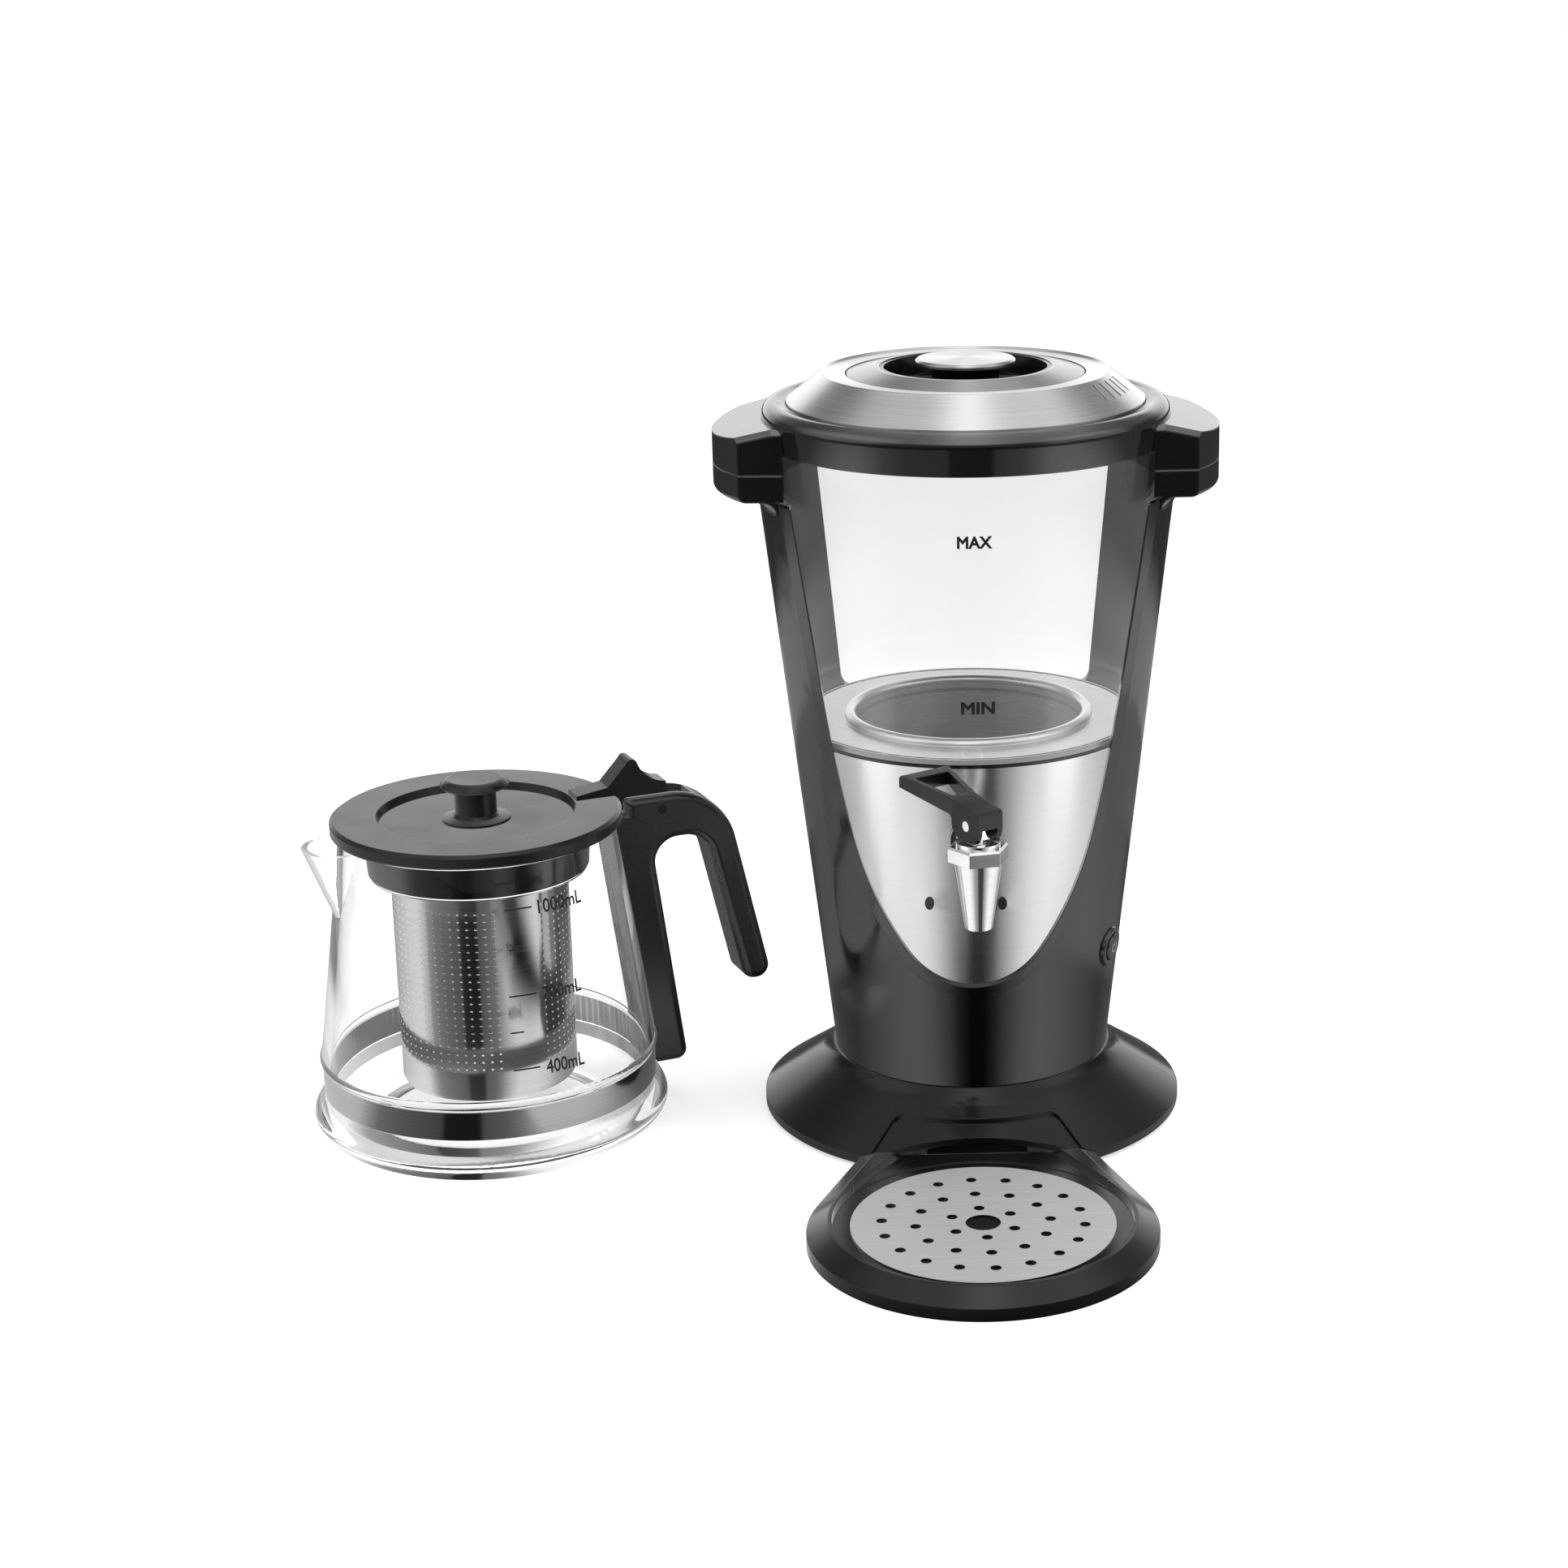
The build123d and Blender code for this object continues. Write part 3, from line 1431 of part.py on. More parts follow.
# Pot handle: a strap down to the band, an arch and a free grip, drawn from the side
strap_foot_r = pot_cone_foot_r + strap_thick + 1.5
strap_top_r = pot_cone_r(arch_under_z) + strap_thick
head_r = pot_lid_r + 1.5
handle_corners = (
    ((pot_rim_r - 6, pot_rim_z), 0),
    ((pot_waist_r - 6, strap_foot_z), 0),
    ((strap_foot_r, strap_foot_z), 4),
    ((strap_top_r, arch_under_z), 9),
    ((strap_top_r + arch_span, arch_under_z), 10),
    ((strap_top_r + arch_span + grip_splay, grip_end_z), 5),
    ((strap_top_r + arch_span + grip_splay + grip_thick, grip_end_z), 5),
    ((strap_top_r + arch_span + grip_root, handle_arch_z), 26),
    ((head_r, handle_arch_z), 1.5),
    ((head_r, pot_rim_z), 0),
)
with BuildPart() as pot_handle:
    with BuildSketch(pot_side):
        with BuildLine():
            FilletPolyline(
                *[corner for corner, bend in handle_corners],
                radius=[bend for corner, bend in handle_corners],
                close=True,
            )
        make_face()
    extrude(amount=pot_handle_width / 2, both=True)
    fillet(
        pot_handle.edges().filter_by(lambda edge: abs(edge.tangent_at(0.5).dot(pot_side.z_dir)) < 0.1),
        radius=grip_edge_round,
    )
    with BuildSketch(pot_side):
        with BuildLine():
            Polyline(
                (0, 0),
                (pot_bulge_r + loose_gap, 0),
                (pot_bulge_r + loose_gap, pot_bulge_z + 2),
                (pot_waist_r + band_thick, pot_waist_z),
                (pot_waist_r + band_thick, waist_top_z),
                (pot_bead_r + seat_gap, waist_top_z),
                (pot_bead_r + seat_gap, pot_cone_foot_z + seat_gap),
                (pot_rim_r + seat_gap, pot_rim_z),
                (pot_rim_r + seat_gap, pot_rim_z + 0.05),
                (0, pot_rim_z + 0.05),
                close=True,
            )
        make_face()
    revolve(axis=pot_axis, mode=Mode.SUBTRACT)
    with BuildSketch(pot_top.offset(arch_under_z + tab_slot_floor)):
        with Locations((hinge_r - tab_slot_shift, 0)):
            Rectangle(2 * hinge_reach, tab_width + 2 * loose_gap)
    extrude(amount=2 * arch_drop, mode=Mode.SUBTRACT)
    with BuildSketch(pot_side):
        with Locations((hinge_r, hinge_z)):
            Circle(hinge_pin_r)
    extrude(amount=pot_handle_width, both=True, mode=Mode.SUBTRACT)
finish(pot_handle, "pot_handle")

with BuildPart() as pot_hinge_pin:
    with BuildSketch(pot_side):
        with Locations((hinge_r, hinge_z)):
            Circle(hinge_pin_r)
    extrude(amount=pot_handle_width / 2, both=True)
finish(pot_hinge_pin, "pot_hinge_pin")

# Ring that hangs the infuser from the rim of the glass
flange_top_z = pot_rim_z + holder_flange_thick
with BuildPart() as pot_holder_ring:
    with BuildSketch(pot_side):
        with BuildLine():
            Polyline(
                (holder_foot_r - holder_wall, holder_foot_z),
                (holder_foot_r, holder_foot_z),
                (holder_r, pot_rim_z),
                (holder_flange_r, pot_rim_z),
                (holder_flange_r, flange_top_z),
                (holder_r - holder_wall, flange_top_z),
                close=True,
            )
        make_face()
    revolve(axis=pot_axis)
finish(pot_holder_ring, "pot_holder_ring")

with BuildPart() as pot_infuser:
    with BuildSketch(pot_side):
        with BuildLine():
            Polyline(
                (0, infuser_floor_z),
                (infuser_r - 2, infuser_floor_z),
                (infuser_r, infuser_floor_z + 2),
                (infuser_r, holder_foot_z - infuser_wall),
                (holder_foot_r - holder_wall + 1.4, holder_foot_z - infuser_wall),
                (holder_foot_r - holder_wall + 1.4, holder_foot_z),
                (infuser_r - infuser_wall, holder_foot_z),
                (infuser_r - infuser_wall, infuser_floor_z + 2.4),
                (infuser_r - 2.4, infuser_floor_z + infuser_wall),
                (0, infuser_floor_z + infuser_wall),
                close=True,
            )
        make_face()
    revolve(axis=pot_axis)
finish(pot_infuser, "pot_infuser")

# Pot lid with the hinge tab and the thumb lever in one piece
lid_top_z = flange_top_z + pot_lid_thick
recess_z = lid_top_z - pot_lid_recess
with BuildPart() as pot_lid:
    with BuildSketch(pot_side):
        with BuildLine():
            Polyline(
                (0, flange_top_z),
                (pot_lid_r - 0.6, flange_top_z),
                (pot_lid_r, flange_top_z + 0.6),
                (pot_lid_r, lid_top_z - 1.0),
                (pot_lid_r - 1.4, lid_top_z),
                (pot_lid_recess_r + 1.0, lid_top_z),
                (pot_lid_recess_r, recess_z),
                (0, recess_z),
                close=True,
            )
        make_face()
    revolve(axis=pot_axis)
    with BuildSketch(pot_side):
        with BuildLine():
            Polyline(
                (pot_lid_recess_r + 1.5, lid_top_z - 0.5),
                (pot_lid_recess_r + 1.5, lid_top_z + 1.6),
                (pot_lid_r - 4.0, lid_top_z + 3.4),
                (hinge_r - thumb_back, hinge_z + thumb_height),
            )
            ThreePointArc(
                (hinge_r - thumb_back, hinge_z + thumb_height),
                (hinge_r - thumb_back + 2.0, hinge_z + thumb_height + 1.4),
                (hinge_r - thumb_back + 4.0, hinge_z + thumb_height + 0.2),
            )
            ThreePointArc(
                (hinge_r - thumb_back + 4.0, hinge_z + thumb_height + 0.2),
                (hinge_r - 0.3 * thumb_back, hinge_z + 0.67 * thumb_height),
                (hinge_r + 0.25 * thumb_back, hinge_z + 0.53 * thumb_height),
            )
            Polyline(
                (hinge_r + 0.25 * thumb_back, hinge_z + 0.53 * thumb_height),
                (hinge_r + 2 * hinge_pin_r, hinge_z + hinge_pin_r),
                (hinge_r + hinge_pin_r, hinge_z - 1.45 * hinge_pin_r),
                (hinge_r - hinge_pin_r, hinge_z - 1.45 * hinge_pin_r),
                (hinge_r - 5.0, flange_top_z + 0.6),
                (pot_lid_r - 2, flange_top_z + 0.6),
                (pot_lid_r - 2, lid_top_z - 0.5),
                (pot_lid_recess_r + 1.5, lid_top_z - 0.5),
            )
        make_face()
    extrude(amount=tab_width / 2, both=True)
    with BuildSketch(pot_side):
        with Locations((hinge_r, hinge_z)):
            Circle(hinge_pin_r + running_gap)
    extrude(amount=tab_width, both=True, mode=Mode.SUBTRACT)
finish(pot_lid, "pot_lid")

with BuildPart() as pot_lid_knob:
    with BuildSketch(pot_side):
        with BuildLine():
            Polyline(
                (0, pot_knob_top_z),
                (0, recess_z),
                (pot_knob_foot_r, recess_z),
                (pot_knob_foot_r, recess_z + 0.9),
                (pot_knob_post_r + 1, recess_z + 1.5),
                (pot_knob_post_r, recess_z + 2.5),
                (pot_knob_post_r, pot_knob_top_z - pot_knob_cap_thick - 0.6),
                (pot_knob_cap_r - 1.0, pot_knob_top_z - pot_knob_cap_thick),
                (pot_knob_cap_r, pot_knob_top_z - pot_knob_cap_thick + 1.0),
            )
            ThreePointArc(
                (pot_knob_cap_r, pot_knob_top_z - pot_knob_cap_thick + 1.0),
                (pot_knob_cap_r - 1.2, pot_knob_top_z - 0.7),
                (pot_knob_cap_r - 4.0, pot_knob_top_z),
            )
            Line((pot_knob_cap_r - 4.0, pot_knob_top_z), (0, pot_knob_top_z))
        make_face()
    revolve(axis=pot_axis)
finish(pot_lid_knob, "pot_lid_knob")
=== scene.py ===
from math import cos, pi, radians, sin

import bmesh
import bpy
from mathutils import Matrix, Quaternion, Vector


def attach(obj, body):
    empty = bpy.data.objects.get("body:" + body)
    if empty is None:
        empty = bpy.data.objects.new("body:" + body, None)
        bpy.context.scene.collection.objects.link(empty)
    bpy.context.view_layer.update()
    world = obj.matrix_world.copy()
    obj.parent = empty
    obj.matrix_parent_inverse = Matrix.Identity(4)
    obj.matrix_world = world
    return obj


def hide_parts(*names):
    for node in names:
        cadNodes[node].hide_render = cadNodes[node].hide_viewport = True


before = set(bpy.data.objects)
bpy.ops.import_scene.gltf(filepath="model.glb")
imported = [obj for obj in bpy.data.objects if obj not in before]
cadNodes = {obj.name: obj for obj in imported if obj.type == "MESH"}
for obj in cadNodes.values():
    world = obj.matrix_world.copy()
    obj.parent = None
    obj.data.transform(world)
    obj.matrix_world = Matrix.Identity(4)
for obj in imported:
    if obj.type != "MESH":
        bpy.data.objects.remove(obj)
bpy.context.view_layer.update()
mm = 0.001

cameraSetup = {
    "target": (0.0, 0.0, 0.1238),
    "distance": 1.1355,
    "elevation": 17.33,     # degrees, as the next two
    "azimuth": -1.6,
    "roll": -0.5,
    "sensor": 36,
    "lens": 70.53,
    "shiftX": -0.118,
}


def placeCamera(setup):
    data = bpy.data.cameras.new("camera")
    data.sensor_width = setup["sensor"]
    data.lens = setup["lens"]
    data.shift_x = setup["shiftX"]
    camera = bpy.data.objects.new("camera", data)
    bpy.context.scene.collection.objects.link(camera)
    turn, rise = radians(setup["azimuth"]), radians(setup["elevation"])
    away = Vector((sin(turn) * cos(rise), -cos(turn) * cos(rise), sin(rise)))
    camera.location = Vector(setup["target"]) + setup["distance"] * away
    camera.rotation_mode = "QUATERNION"
    level = away.to_track_quat("Z", "Y")
    camera.rotation_quaternion = level @ Quaternion((0, 0, 1), radians(setup["roll"]))
    bpy.context.scene.camera = camera


placeCamera(cameraSetup)
bpy.context.scene.view_settings.view_transform = "Standard"
print("camera placed")


def fillSocket(tree, socket, value):
    if isinstance(value, bpy.types.NodeSocket):
        tree.links.new(value, socket)
    else:
        socket.default_value = value


def addNode(tree, kind, inputs=None, **settings):
    node = tree.nodes.new("ShaderNode" + kind)
    for key, value in settings.items():
        setattr(node, key, value)
    for key, value in (inputs or {}).items():       # plain values, or outputs to link
        fillSocket(tree, node.inputs[key], value)
    return node


def mathNode(tree, operation, *values):
    return addNode(tree, "Math", dict(enumerate(values)), operation=operation).outputs[0]


def newGroup(name, inputs, outputs):
    group = bpy.data.node_groups.new(name, "ShaderNodeTree")
    for label, value in inputs.items():
        kind = "NodeSocketVector" if isinstance(value, tuple) else "NodeSocketFloat"
        socket = group.interface.new_socket(name=label, in_out="INPUT", socket_type=kind)
        socket.default_value = value
    for label in outputs:
        group.interface.new_socket(name=label, in_out="OUTPUT", socket_type="NodeSocketFloat")
    return group, group.nodes.new("NodeGroupInput"), group.nodes.new("NodeGroupOutput")


patternSetup = {
    "fineTimes": 30.0,      # how much finer the mottle's grain is than its clouds
    "cloudShare": 0.75,
    "mottleSpan": (0.35, 0.65),     # the part of each noise that is spread from Low to High
    "lineSpan": (0.3, 0.7),
    "lineLean": 1.31,       # so that turned lines show on flat and on upright faces
    "lineWander": 14.0,
    "brushStretch": 0.02,
    "brushTurn": 8,     # degrees
    "lineDetail": 4,
    "toneTimes": 0.6,       # how much broader a plastic's tones are than its roughness
    "grainDepth": 0.2 * mm,
    "brushDepth": 0.05 * mm,
    "glassScale": 14.0,
    "glassRough": 0.005,
    "glassClear": (0.96, 0.96, 0.96, 1),
}


def spreadNoise(group, into, out, noise, span, height):
    spread = addNode(group, "MapRange", {
        "Value": noise,
        "From Min": span[0],
        "From Max": span[1],
        "To Min": into.outputs["Low"],
        "To Max": into.outputs["High"],
    })
    group.links.new(spread.outputs["Result"], out.inputs["Value"])
    group.links.new(height, out.inputs["Height"])


def aboutAxis(group, into):
    coords = addNode(group, "TexCoord")
    ends = {0: coords.outputs["Object"], 1: into.outputs["Centre"]}
    moved = addNode(group, "VectorMath", ends, operation="SUBTRACT")
    spot = addNode(group, "SeparateXYZ", {0: moved.outputs[0]}).outputs
    squares = [mathNode(group, "MULTIPLY", spot[axis], spot[axis]) for axis in (0, 1)]
    return spot, mathNode(group, "SQRT", mathNode(group, "ADD", *squares))


def makeMottle(setup):
    group, into, out = newGroup("softMottle", {"Scale": 40.0, "Low": 0.1, "High": 0.2}, ["Value", "Height"])
    spot = addNode(group, "TexCoord").outputs["Object"]
    scale = into.outputs["Scale"]
    fineScale = mathNode(group, "MULTIPLY", scale, setup["fineTimes"])
    clouds = addNode(group, "TexNoise", {"Vector": spot, "Scale": scale, "Detail": 3}).outputs["Fac"]
    grain = addNode(group, "TexNoise", {"Vector": spot, "Scale": fineScale, "Detail": 2}).outputs["Fac"]
    share = setup["cloudShare"]
    both = [mathNode(group, "MULTIPLY", clouds, share), mathNode(group, "MULTIPLY", grain, 1 - share)]
    spreadNoise(group, into, out, mathNode(group, "ADD", *both), setup["mottleSpan"], grain)
    return group


def makeTurnedLines(setup):
    inputs = {"Centre": (0, 0, 0), "Density": 900.0, "Low": 0.2, "High": 0.3}
    group, into, out = newGroup("turnedLines", inputs, ["Value", "Height"])
    spot, reach = aboutAxis(group, into)
    track = mathNode(group, "ADD", mathNode(group, "MULTIPLY", reach, setup["lineLean"]), spot[2])
    joined = addNode(group, "CombineXYZ", {
        0: mathNode(group, "MULTIPLY", spot[0], setup["lineWander"]),
        1: mathNode(group, "MULTIPLY", spot[1], setup["lineWander"]),
        2: mathNode(group, "MULTIPLY", track, into.outputs["Density"]),
    })
    detail = setup["lineDetail"]
    noise = addNode(group, "TexNoise", {"Vector": joined.outputs[0], "Scale": 1.0, "Detail": detail, "Roughness": 0.7})
    spreadNoise(group, into, out, noise.outputs["Fac"], setup["lineSpan"], noise.outputs["Fac"])
    return group


def makeStraightLines(setup):
    group, into, out = newGroup("straightLines", {"Density": 1200.0, "Low": 0.2, "High": 0.3}, ["Value", "Height"])
    stretch = addNode(group, "Mapping", {
        "Vector": addNode(group, "TexCoord").outputs["Object"],
        "Scale": (setup["brushStretch"], 1, 1),
        "Rotation": (0, 0, radians(setup["brushTurn"])),
    })
    noise = addNode(group, "TexNoise", {
        "Vector": stretch.outputs[0],
        "Scale": into.outputs["Density"],
        "Detail": setup["lineDetail"],
    })
    spreadNoise(group, into, out, noise.outputs["Fac"], setup["lineSpan"], noise.outputs["Fac"])
    return group


def makeInsideCone():
    # tells the inner side of a round wall from its outer side
    inputs = {"Centre": (0, 0, 0), "Radius": 0.05, "Lean": 0.0, "Low": 0.0, "High": 0.1}
    group, into, out = newGroup("insideCone", inputs, ["Mask"])
    spot, reach = aboutAxis(group, into)
    height = spot[2]
    lean = mathNode(group, "MULTIPLY", height, into.outputs["Lean"])
    within = mathNode(group, "LESS_THAN", reach, mathNode(group, "ADD", lean, into.outputs["Radius"]))
    above = mathNode(group, "GREATER_THAN", height, into.outputs["Low"])
    below = mathNode(group, "LESS_THAN", height, into.outputs["High"])
    mask = mathNode(group, "MULTIPLY", within, mathNode(group, "MULTIPLY", above, below))
    group.links.new(mask, out.inputs["Mask"])
    return group


softMottle = makeMottle(patternSetup)
insideCone = makeInsideCone()
turnedLines = makeTurnedLines(patternSetup)
straightLines = makeStraightLines(patternSetup)
print("shader groups built")


def useGroup(tree, group, **values):
    node = tree.nodes.new("ShaderNodeGroup")
    node.node_tree = group
    for key, value in values.items():
        node.inputs[key].default_value = value
    return node


def newMaterial(name, colour, **values):
    material = bpy.data.materials.new(name)
    material.use_nodes = True
    shader = material.node_tree.nodes["Principled BSDF"]
    shader.inputs["Base Color"].default_value = (*colour, 1)
    for key, value in values.items():
        shader.inputs[key.replace("_", " ")].default_value = value
    return material, material.node_tree, shader


def greys(dark, light):
    return (dark, dark, dark), (light, light, light)


def addRelief(tree, shader, height, strength, distance):
    bump = addNode(tree, "Bump", {"Strength": strength, "Distance": distance, "Height": height})
    tree.links.new(bump.outputs[0], shader.inputs["Normal"])


def softenEdges(tree, shader, radius):
    rounding = addNode(tree, "Bevel", {"Radius": radius}, samples=4)
    normal = shader.inputs["Normal"]
    if normal.is_linked:        # the rounding goes in before the relief
        normal = normal.links[0].from_node.inputs["Normal"]
    tree.links.new(rounding.outputs[0], normal)


def mixColours(tree, mask, first, second):
    return addNode(tree, "Mix", {0: mask, 6: first, 7: second}, data_type="RGBA").outputs[2]


def toneSplit(tree, shader, mask, tones):
    dark, light = tones
    tree.links.new(mixColours(tree, mask, (*dark, 1), (*light, 1)), shader.inputs["Base Color"])


def coverTone(material, tone, socket="Base Color", **cone):
    tree = material.node_tree
    target = tree.nodes["Principled BSDF"].inputs[socket]
    inner = useGroup(tree, insideCone, **cone)
    covered = mixColours(tree, inner.outputs["Mask"], target.links[0].from_socket, (tone, tone, tone, 1))
    tree.links.new(covered, target)


def plasticMaterial(name, tones, rough, grain, edge=0.0, refraction=1.5, scale=40.0):
    material, tree, shader = newMaterial(name, tones[0], IOR=refraction)
    mottle = useGroup(tree, softMottle, Scale=scale, Low=rough[0], High=rough[1])
    tree.links.new(mottle.outputs["Value"], shader.inputs["Roughness"])
    tone = useGroup(tree, softMottle, Scale=scale * patternSetup["toneTimes"], Low=0.0, High=1.0)
    toneSplit(tree, shader, tone.outputs["Value"], tones)
    addRelief(tree, shader, mottle.outputs["Height"], grain, patternSetup["grainDepth"])
    if edge:
        softenEdges(tree, shader, edge)
    return material


def steelMaterial(name, tones, lines, rough, relief, edge=0.0, anisotropy=0.0, metal=1.0, **values):
    material, tree, shader = newMaterial(name, tones[0], Metallic=metal, Anisotropic=anisotropy)
    brushed = useGroup(tree, lines, Low=rough[0], High=rough[1], **values)
    tree.links.new(brushed.outputs["Value"], shader.inputs["Roughness"])
    tone = useGroup(tree, lines, Low=0.0, High=1.0, **values)
    toneSplit(tree, shader, tone.outputs["Value"], tones)
    if relief:
        addRelief(tree, shader, brushed.outputs["Height"], relief, patternSetup["brushDepth"])
    if edge:
        softenEdges(tree, shader, edge)
    if anisotropy:
        shader.inputs["Anisotropic Rotation"].default_value = 0.25      # a quarter turn, so the lines run round
        tangent = addNode(tree, "Tangent", direction_type="RADIAL", axis="Z")
        tree.links.new(tangent.outputs[0], shader.inputs["Tangent"])
    return material


def mirroredRays(tree, path):
    # refracted rays count as glossy too, so they are taken out
    bounced = mathNode(tree, "SUBTRACT", 1.0, path.outputs["Is Transmission Ray"])
    return mathNode(tree, "MULTIPLY", path.outputs["Is Glossy Ray"], bounced)


def mixShaders(tree, mask, first, second):
    return addNode(tree, "MixShader", {0: mask, 1: first, 2: second}).outputs[0]


def setSurface(tree, surface):
    tree.links.new(surface, tree.nodes["Material Output"].inputs["Surface"])


def glassMaterial(name, tint, refraction=1.5):
    # shadows, diffuse light and mirrored views pass straight through the glass
    material, tree, shader = newMaterial(name, tint, IOR=refraction, Transmission_Weight=1.0)
    mottle = useGroup(tree, softMottle, Scale=patternSetup["glassScale"], Low=0.0, High=patternSetup["glassRough"])
    tree.links.new(mottle.outputs["Value"], shader.inputs["Roughness"])
    path = addNode(tree, "LightPath")
    clear = addNode(tree, "BsdfTransparent", {0: patternSetup["glassClear"]})
    lighting = mathNode(tree, "MAXIMUM", path.outputs["Is Shadow Ray"], path.outputs["Is Diffuse Ray"])
    passed = mathNode(tree, "MAXIMUM", lighting, mirroredRays(tree, path))
    setSurface(tree, mixShaders(tree, passed, shader.outputs[0], clear.outputs[0]))
    return material


potCentre = (-0.1794, -0.0181, 0.0)
tapCentre = (0.0, -0.103, 0.0)
trayCentre = (0.0, -127.2 * mm, 0.0)

# black plastics: tones, roughness, relief, rounding of the edges
shellBlack = plasticMaterial("shellBlack", greys(0.002, 0.004), (0.08, 0.14), 0.01, 0.6 * mm, refraction=1.75)
trimBlack = plasticMaterial("trimBlack", greys(0.004, 0.008), (0.1, 0.16), 0.01, 0.5 * mm, refraction=1.35)
collarBlack = plasticMaterial("collarBlack", greys(0.004, 0.008), (0.06, 0.1), 0.005, 0.5 * mm, refraction=1.9)
ringBlack = plasticMaterial("ringBlack", greys(0.004, 0.008), (0.1, 0.16), 0.01, 0.5 * mm, refraction=1.9)
handleBlack = plasticMaterial("handleBlack", greys(0.004, 0.008), (0.12, 0.18), 0.01, 0.8 * mm, refraction=2.0)
trayBlack = plasticMaterial("trayBlack", greys(0.005, 0.009), (0.12, 0.2), 0.02, 0.5 * mm, refraction=1.42)
tapBlack = plasticMaterial("tapBlack", greys(0.005, 0.009), (0.16, 0.26), 0.03, 0.5 * mm, refraction=1.45)
potBlack = plasticMaterial("potBlack", greys(0.008, 0.013), (0.2, 0.3), 0.03, 0.5 * mm, refraction=1.36)
gripBlack = plasticMaterial("gripBlack", greys(0.01, 0.015), (0.22, 0.3), 0.05, 0.6 * mm, refraction=1.6)
plateBlack = plasticMaterial("plateBlack", greys(0.02, 0.03), (0.5, 0.7), 0.15)

# rubber, pale plastics, the board, the lenses and the print
rubber = plasticMaterial("rubber", greys(0.012, 0.02), (0.7, 0.9), 0.25)
cream = plasticMaterial("cream", ((0.62, 0.6, 0.54), (0.7, 0.68, 0.62)), (0.35, 0.5), 0.08)
whitePlastic = plasticMaterial("whitePlastic", greys(0.8, 0.86), (0.2, 0.3), 0.03, 0.2 * mm)
boardGreen = plasticMaterial("boardGreen", ((0.01, 0.09, 0.03), (0.015, 0.13, 0.045)), (0.35, 0.5), 0.1, scale=120.0)
darkLens = plasticMaterial("darkLens", ((0.004, 0.004, 0.006), (0.008, 0.008, 0.012)), (0.05, 0.1), 0.0)
inkBlack = plasticMaterial("inkBlack", greys(0.006, 0.012), (0.45, 0.6), 0.0)
inkGrey = plasticMaterial("inkGrey", greys(0.4, 0.5), (0.35, 0.5), 0.0)

# metals: tones, lines, roughness, relief, rounding of the edges, anisotropy
jacketSteel = steelMaterial("jacketSteel", greys(0.74, 0.8), turnedLines, (0.2, 0.26), 0.03, 0.0, 0.85, Density=2600.0)
lidSteel = steelMaterial("lidSteel", greys(0.5, 0.58), turnedLines, (0.24, 0.34), 0.05, 0.4 * mm, 0.8, Density=2600.0)
innerSteel = steelMaterial(
    "innerSteel", greys(0.21, 0.26), turnedLines, (0.2, 0.3), 0.03, 0.4 * mm, 0.7, Density=2600.0,
)
capSteel = steelMaterial("capSteel", greys(0.4, 0.46), turnedLines, (0.2, 0.3), 0.03, 0.4 * mm, 0.7, Density=2600.0)
vesselSteel = steelMaterial(
    "vesselSteel", greys(0.54, 0.6), turnedLines, (0.24, 0.28), 0.015, 0.5 * mm, metal=0.6, Density=2000.0,
)
grateSteel = steelMaterial(
    "grateSteel", greys(0.46, 0.56), straightLines, (0.35, 0.45), 0.1, 0.2 * mm, metal=0.3, Density=1500.0,
)
infuserSteel = steelMaterial(
    "infuserSteel", greys(0.7, 0.76), turnedLines, (0.1, 0.14), 0.01, Density=1800.0, Centre=potCentre,
)
bandSteel = steelMaterial(
    "bandSteel", greys(0.4, 0.46), turnedLines, (0.08, 0.12), 0.01, Density=2600.0, Centre=potCentre,
)
chromeTones = ((0.82, 0.82, 0.83), (0.9, 0.9, 0.9))
chrome = steelMaterial("chrome", chromeTones, turnedLines, (0.02, 0.06), 0.0, 0.2 * mm, Density=500.0, Centre=tapCentre)
zinc = steelMaterial("zinc", greys(0.5, 0.62), straightLines, (0.3, 0.45), 0.1, Density=900.0)
aluminium = steelMaterial("aluminium", greys(0.6, 0.7), straightLines, (0.45, 0.6), 0.3, Density=300.0)

tankClear = glassMaterial("tankClear", (0.9, 0.9, 0.9), refraction=1.55)
potClear = glassMaterial("potClear", (0.985, 0.99, 0.985))

# painted light: the shell's inside behind the tank is painted grey, the vessel's rolled lip is painted lighter as a
# painted highlight, and its inside is painted lighter
coverTone(shellBlack, 0.3, Radius=47.1 * mm, Lean=0.1117, Low=150 * mm, High=240 * mm)
coverTone(vesselSteel, 0.9, Radius=45.8 * mm, Low=149.5 * mm, High=160 * mm)
coverTone(vesselSteel, 0.85, Radius=41.3 * mm, Low=70 * mm, High=149 * mm)
# the tray's matt floor, then painted shade: the walls and underside of the grate's holes and the infuser's inside with
# its hole walls are painted near black
coverTone(trayBlack, 0.95, "Roughness", Centre=trayCentre, Radius=47 * mm, Low=0.0, High=5.2 * mm)
coverTone(grateSteel, 0.01, Centre=trayCentre, Radius=48 * mm, Low=0.0, High=6.55 * mm)
coverTone(infuserSteel, 0.015, Centre=potCentre, Radius=31.44 * mm, Low=22.5 * mm, High=100 * mm)

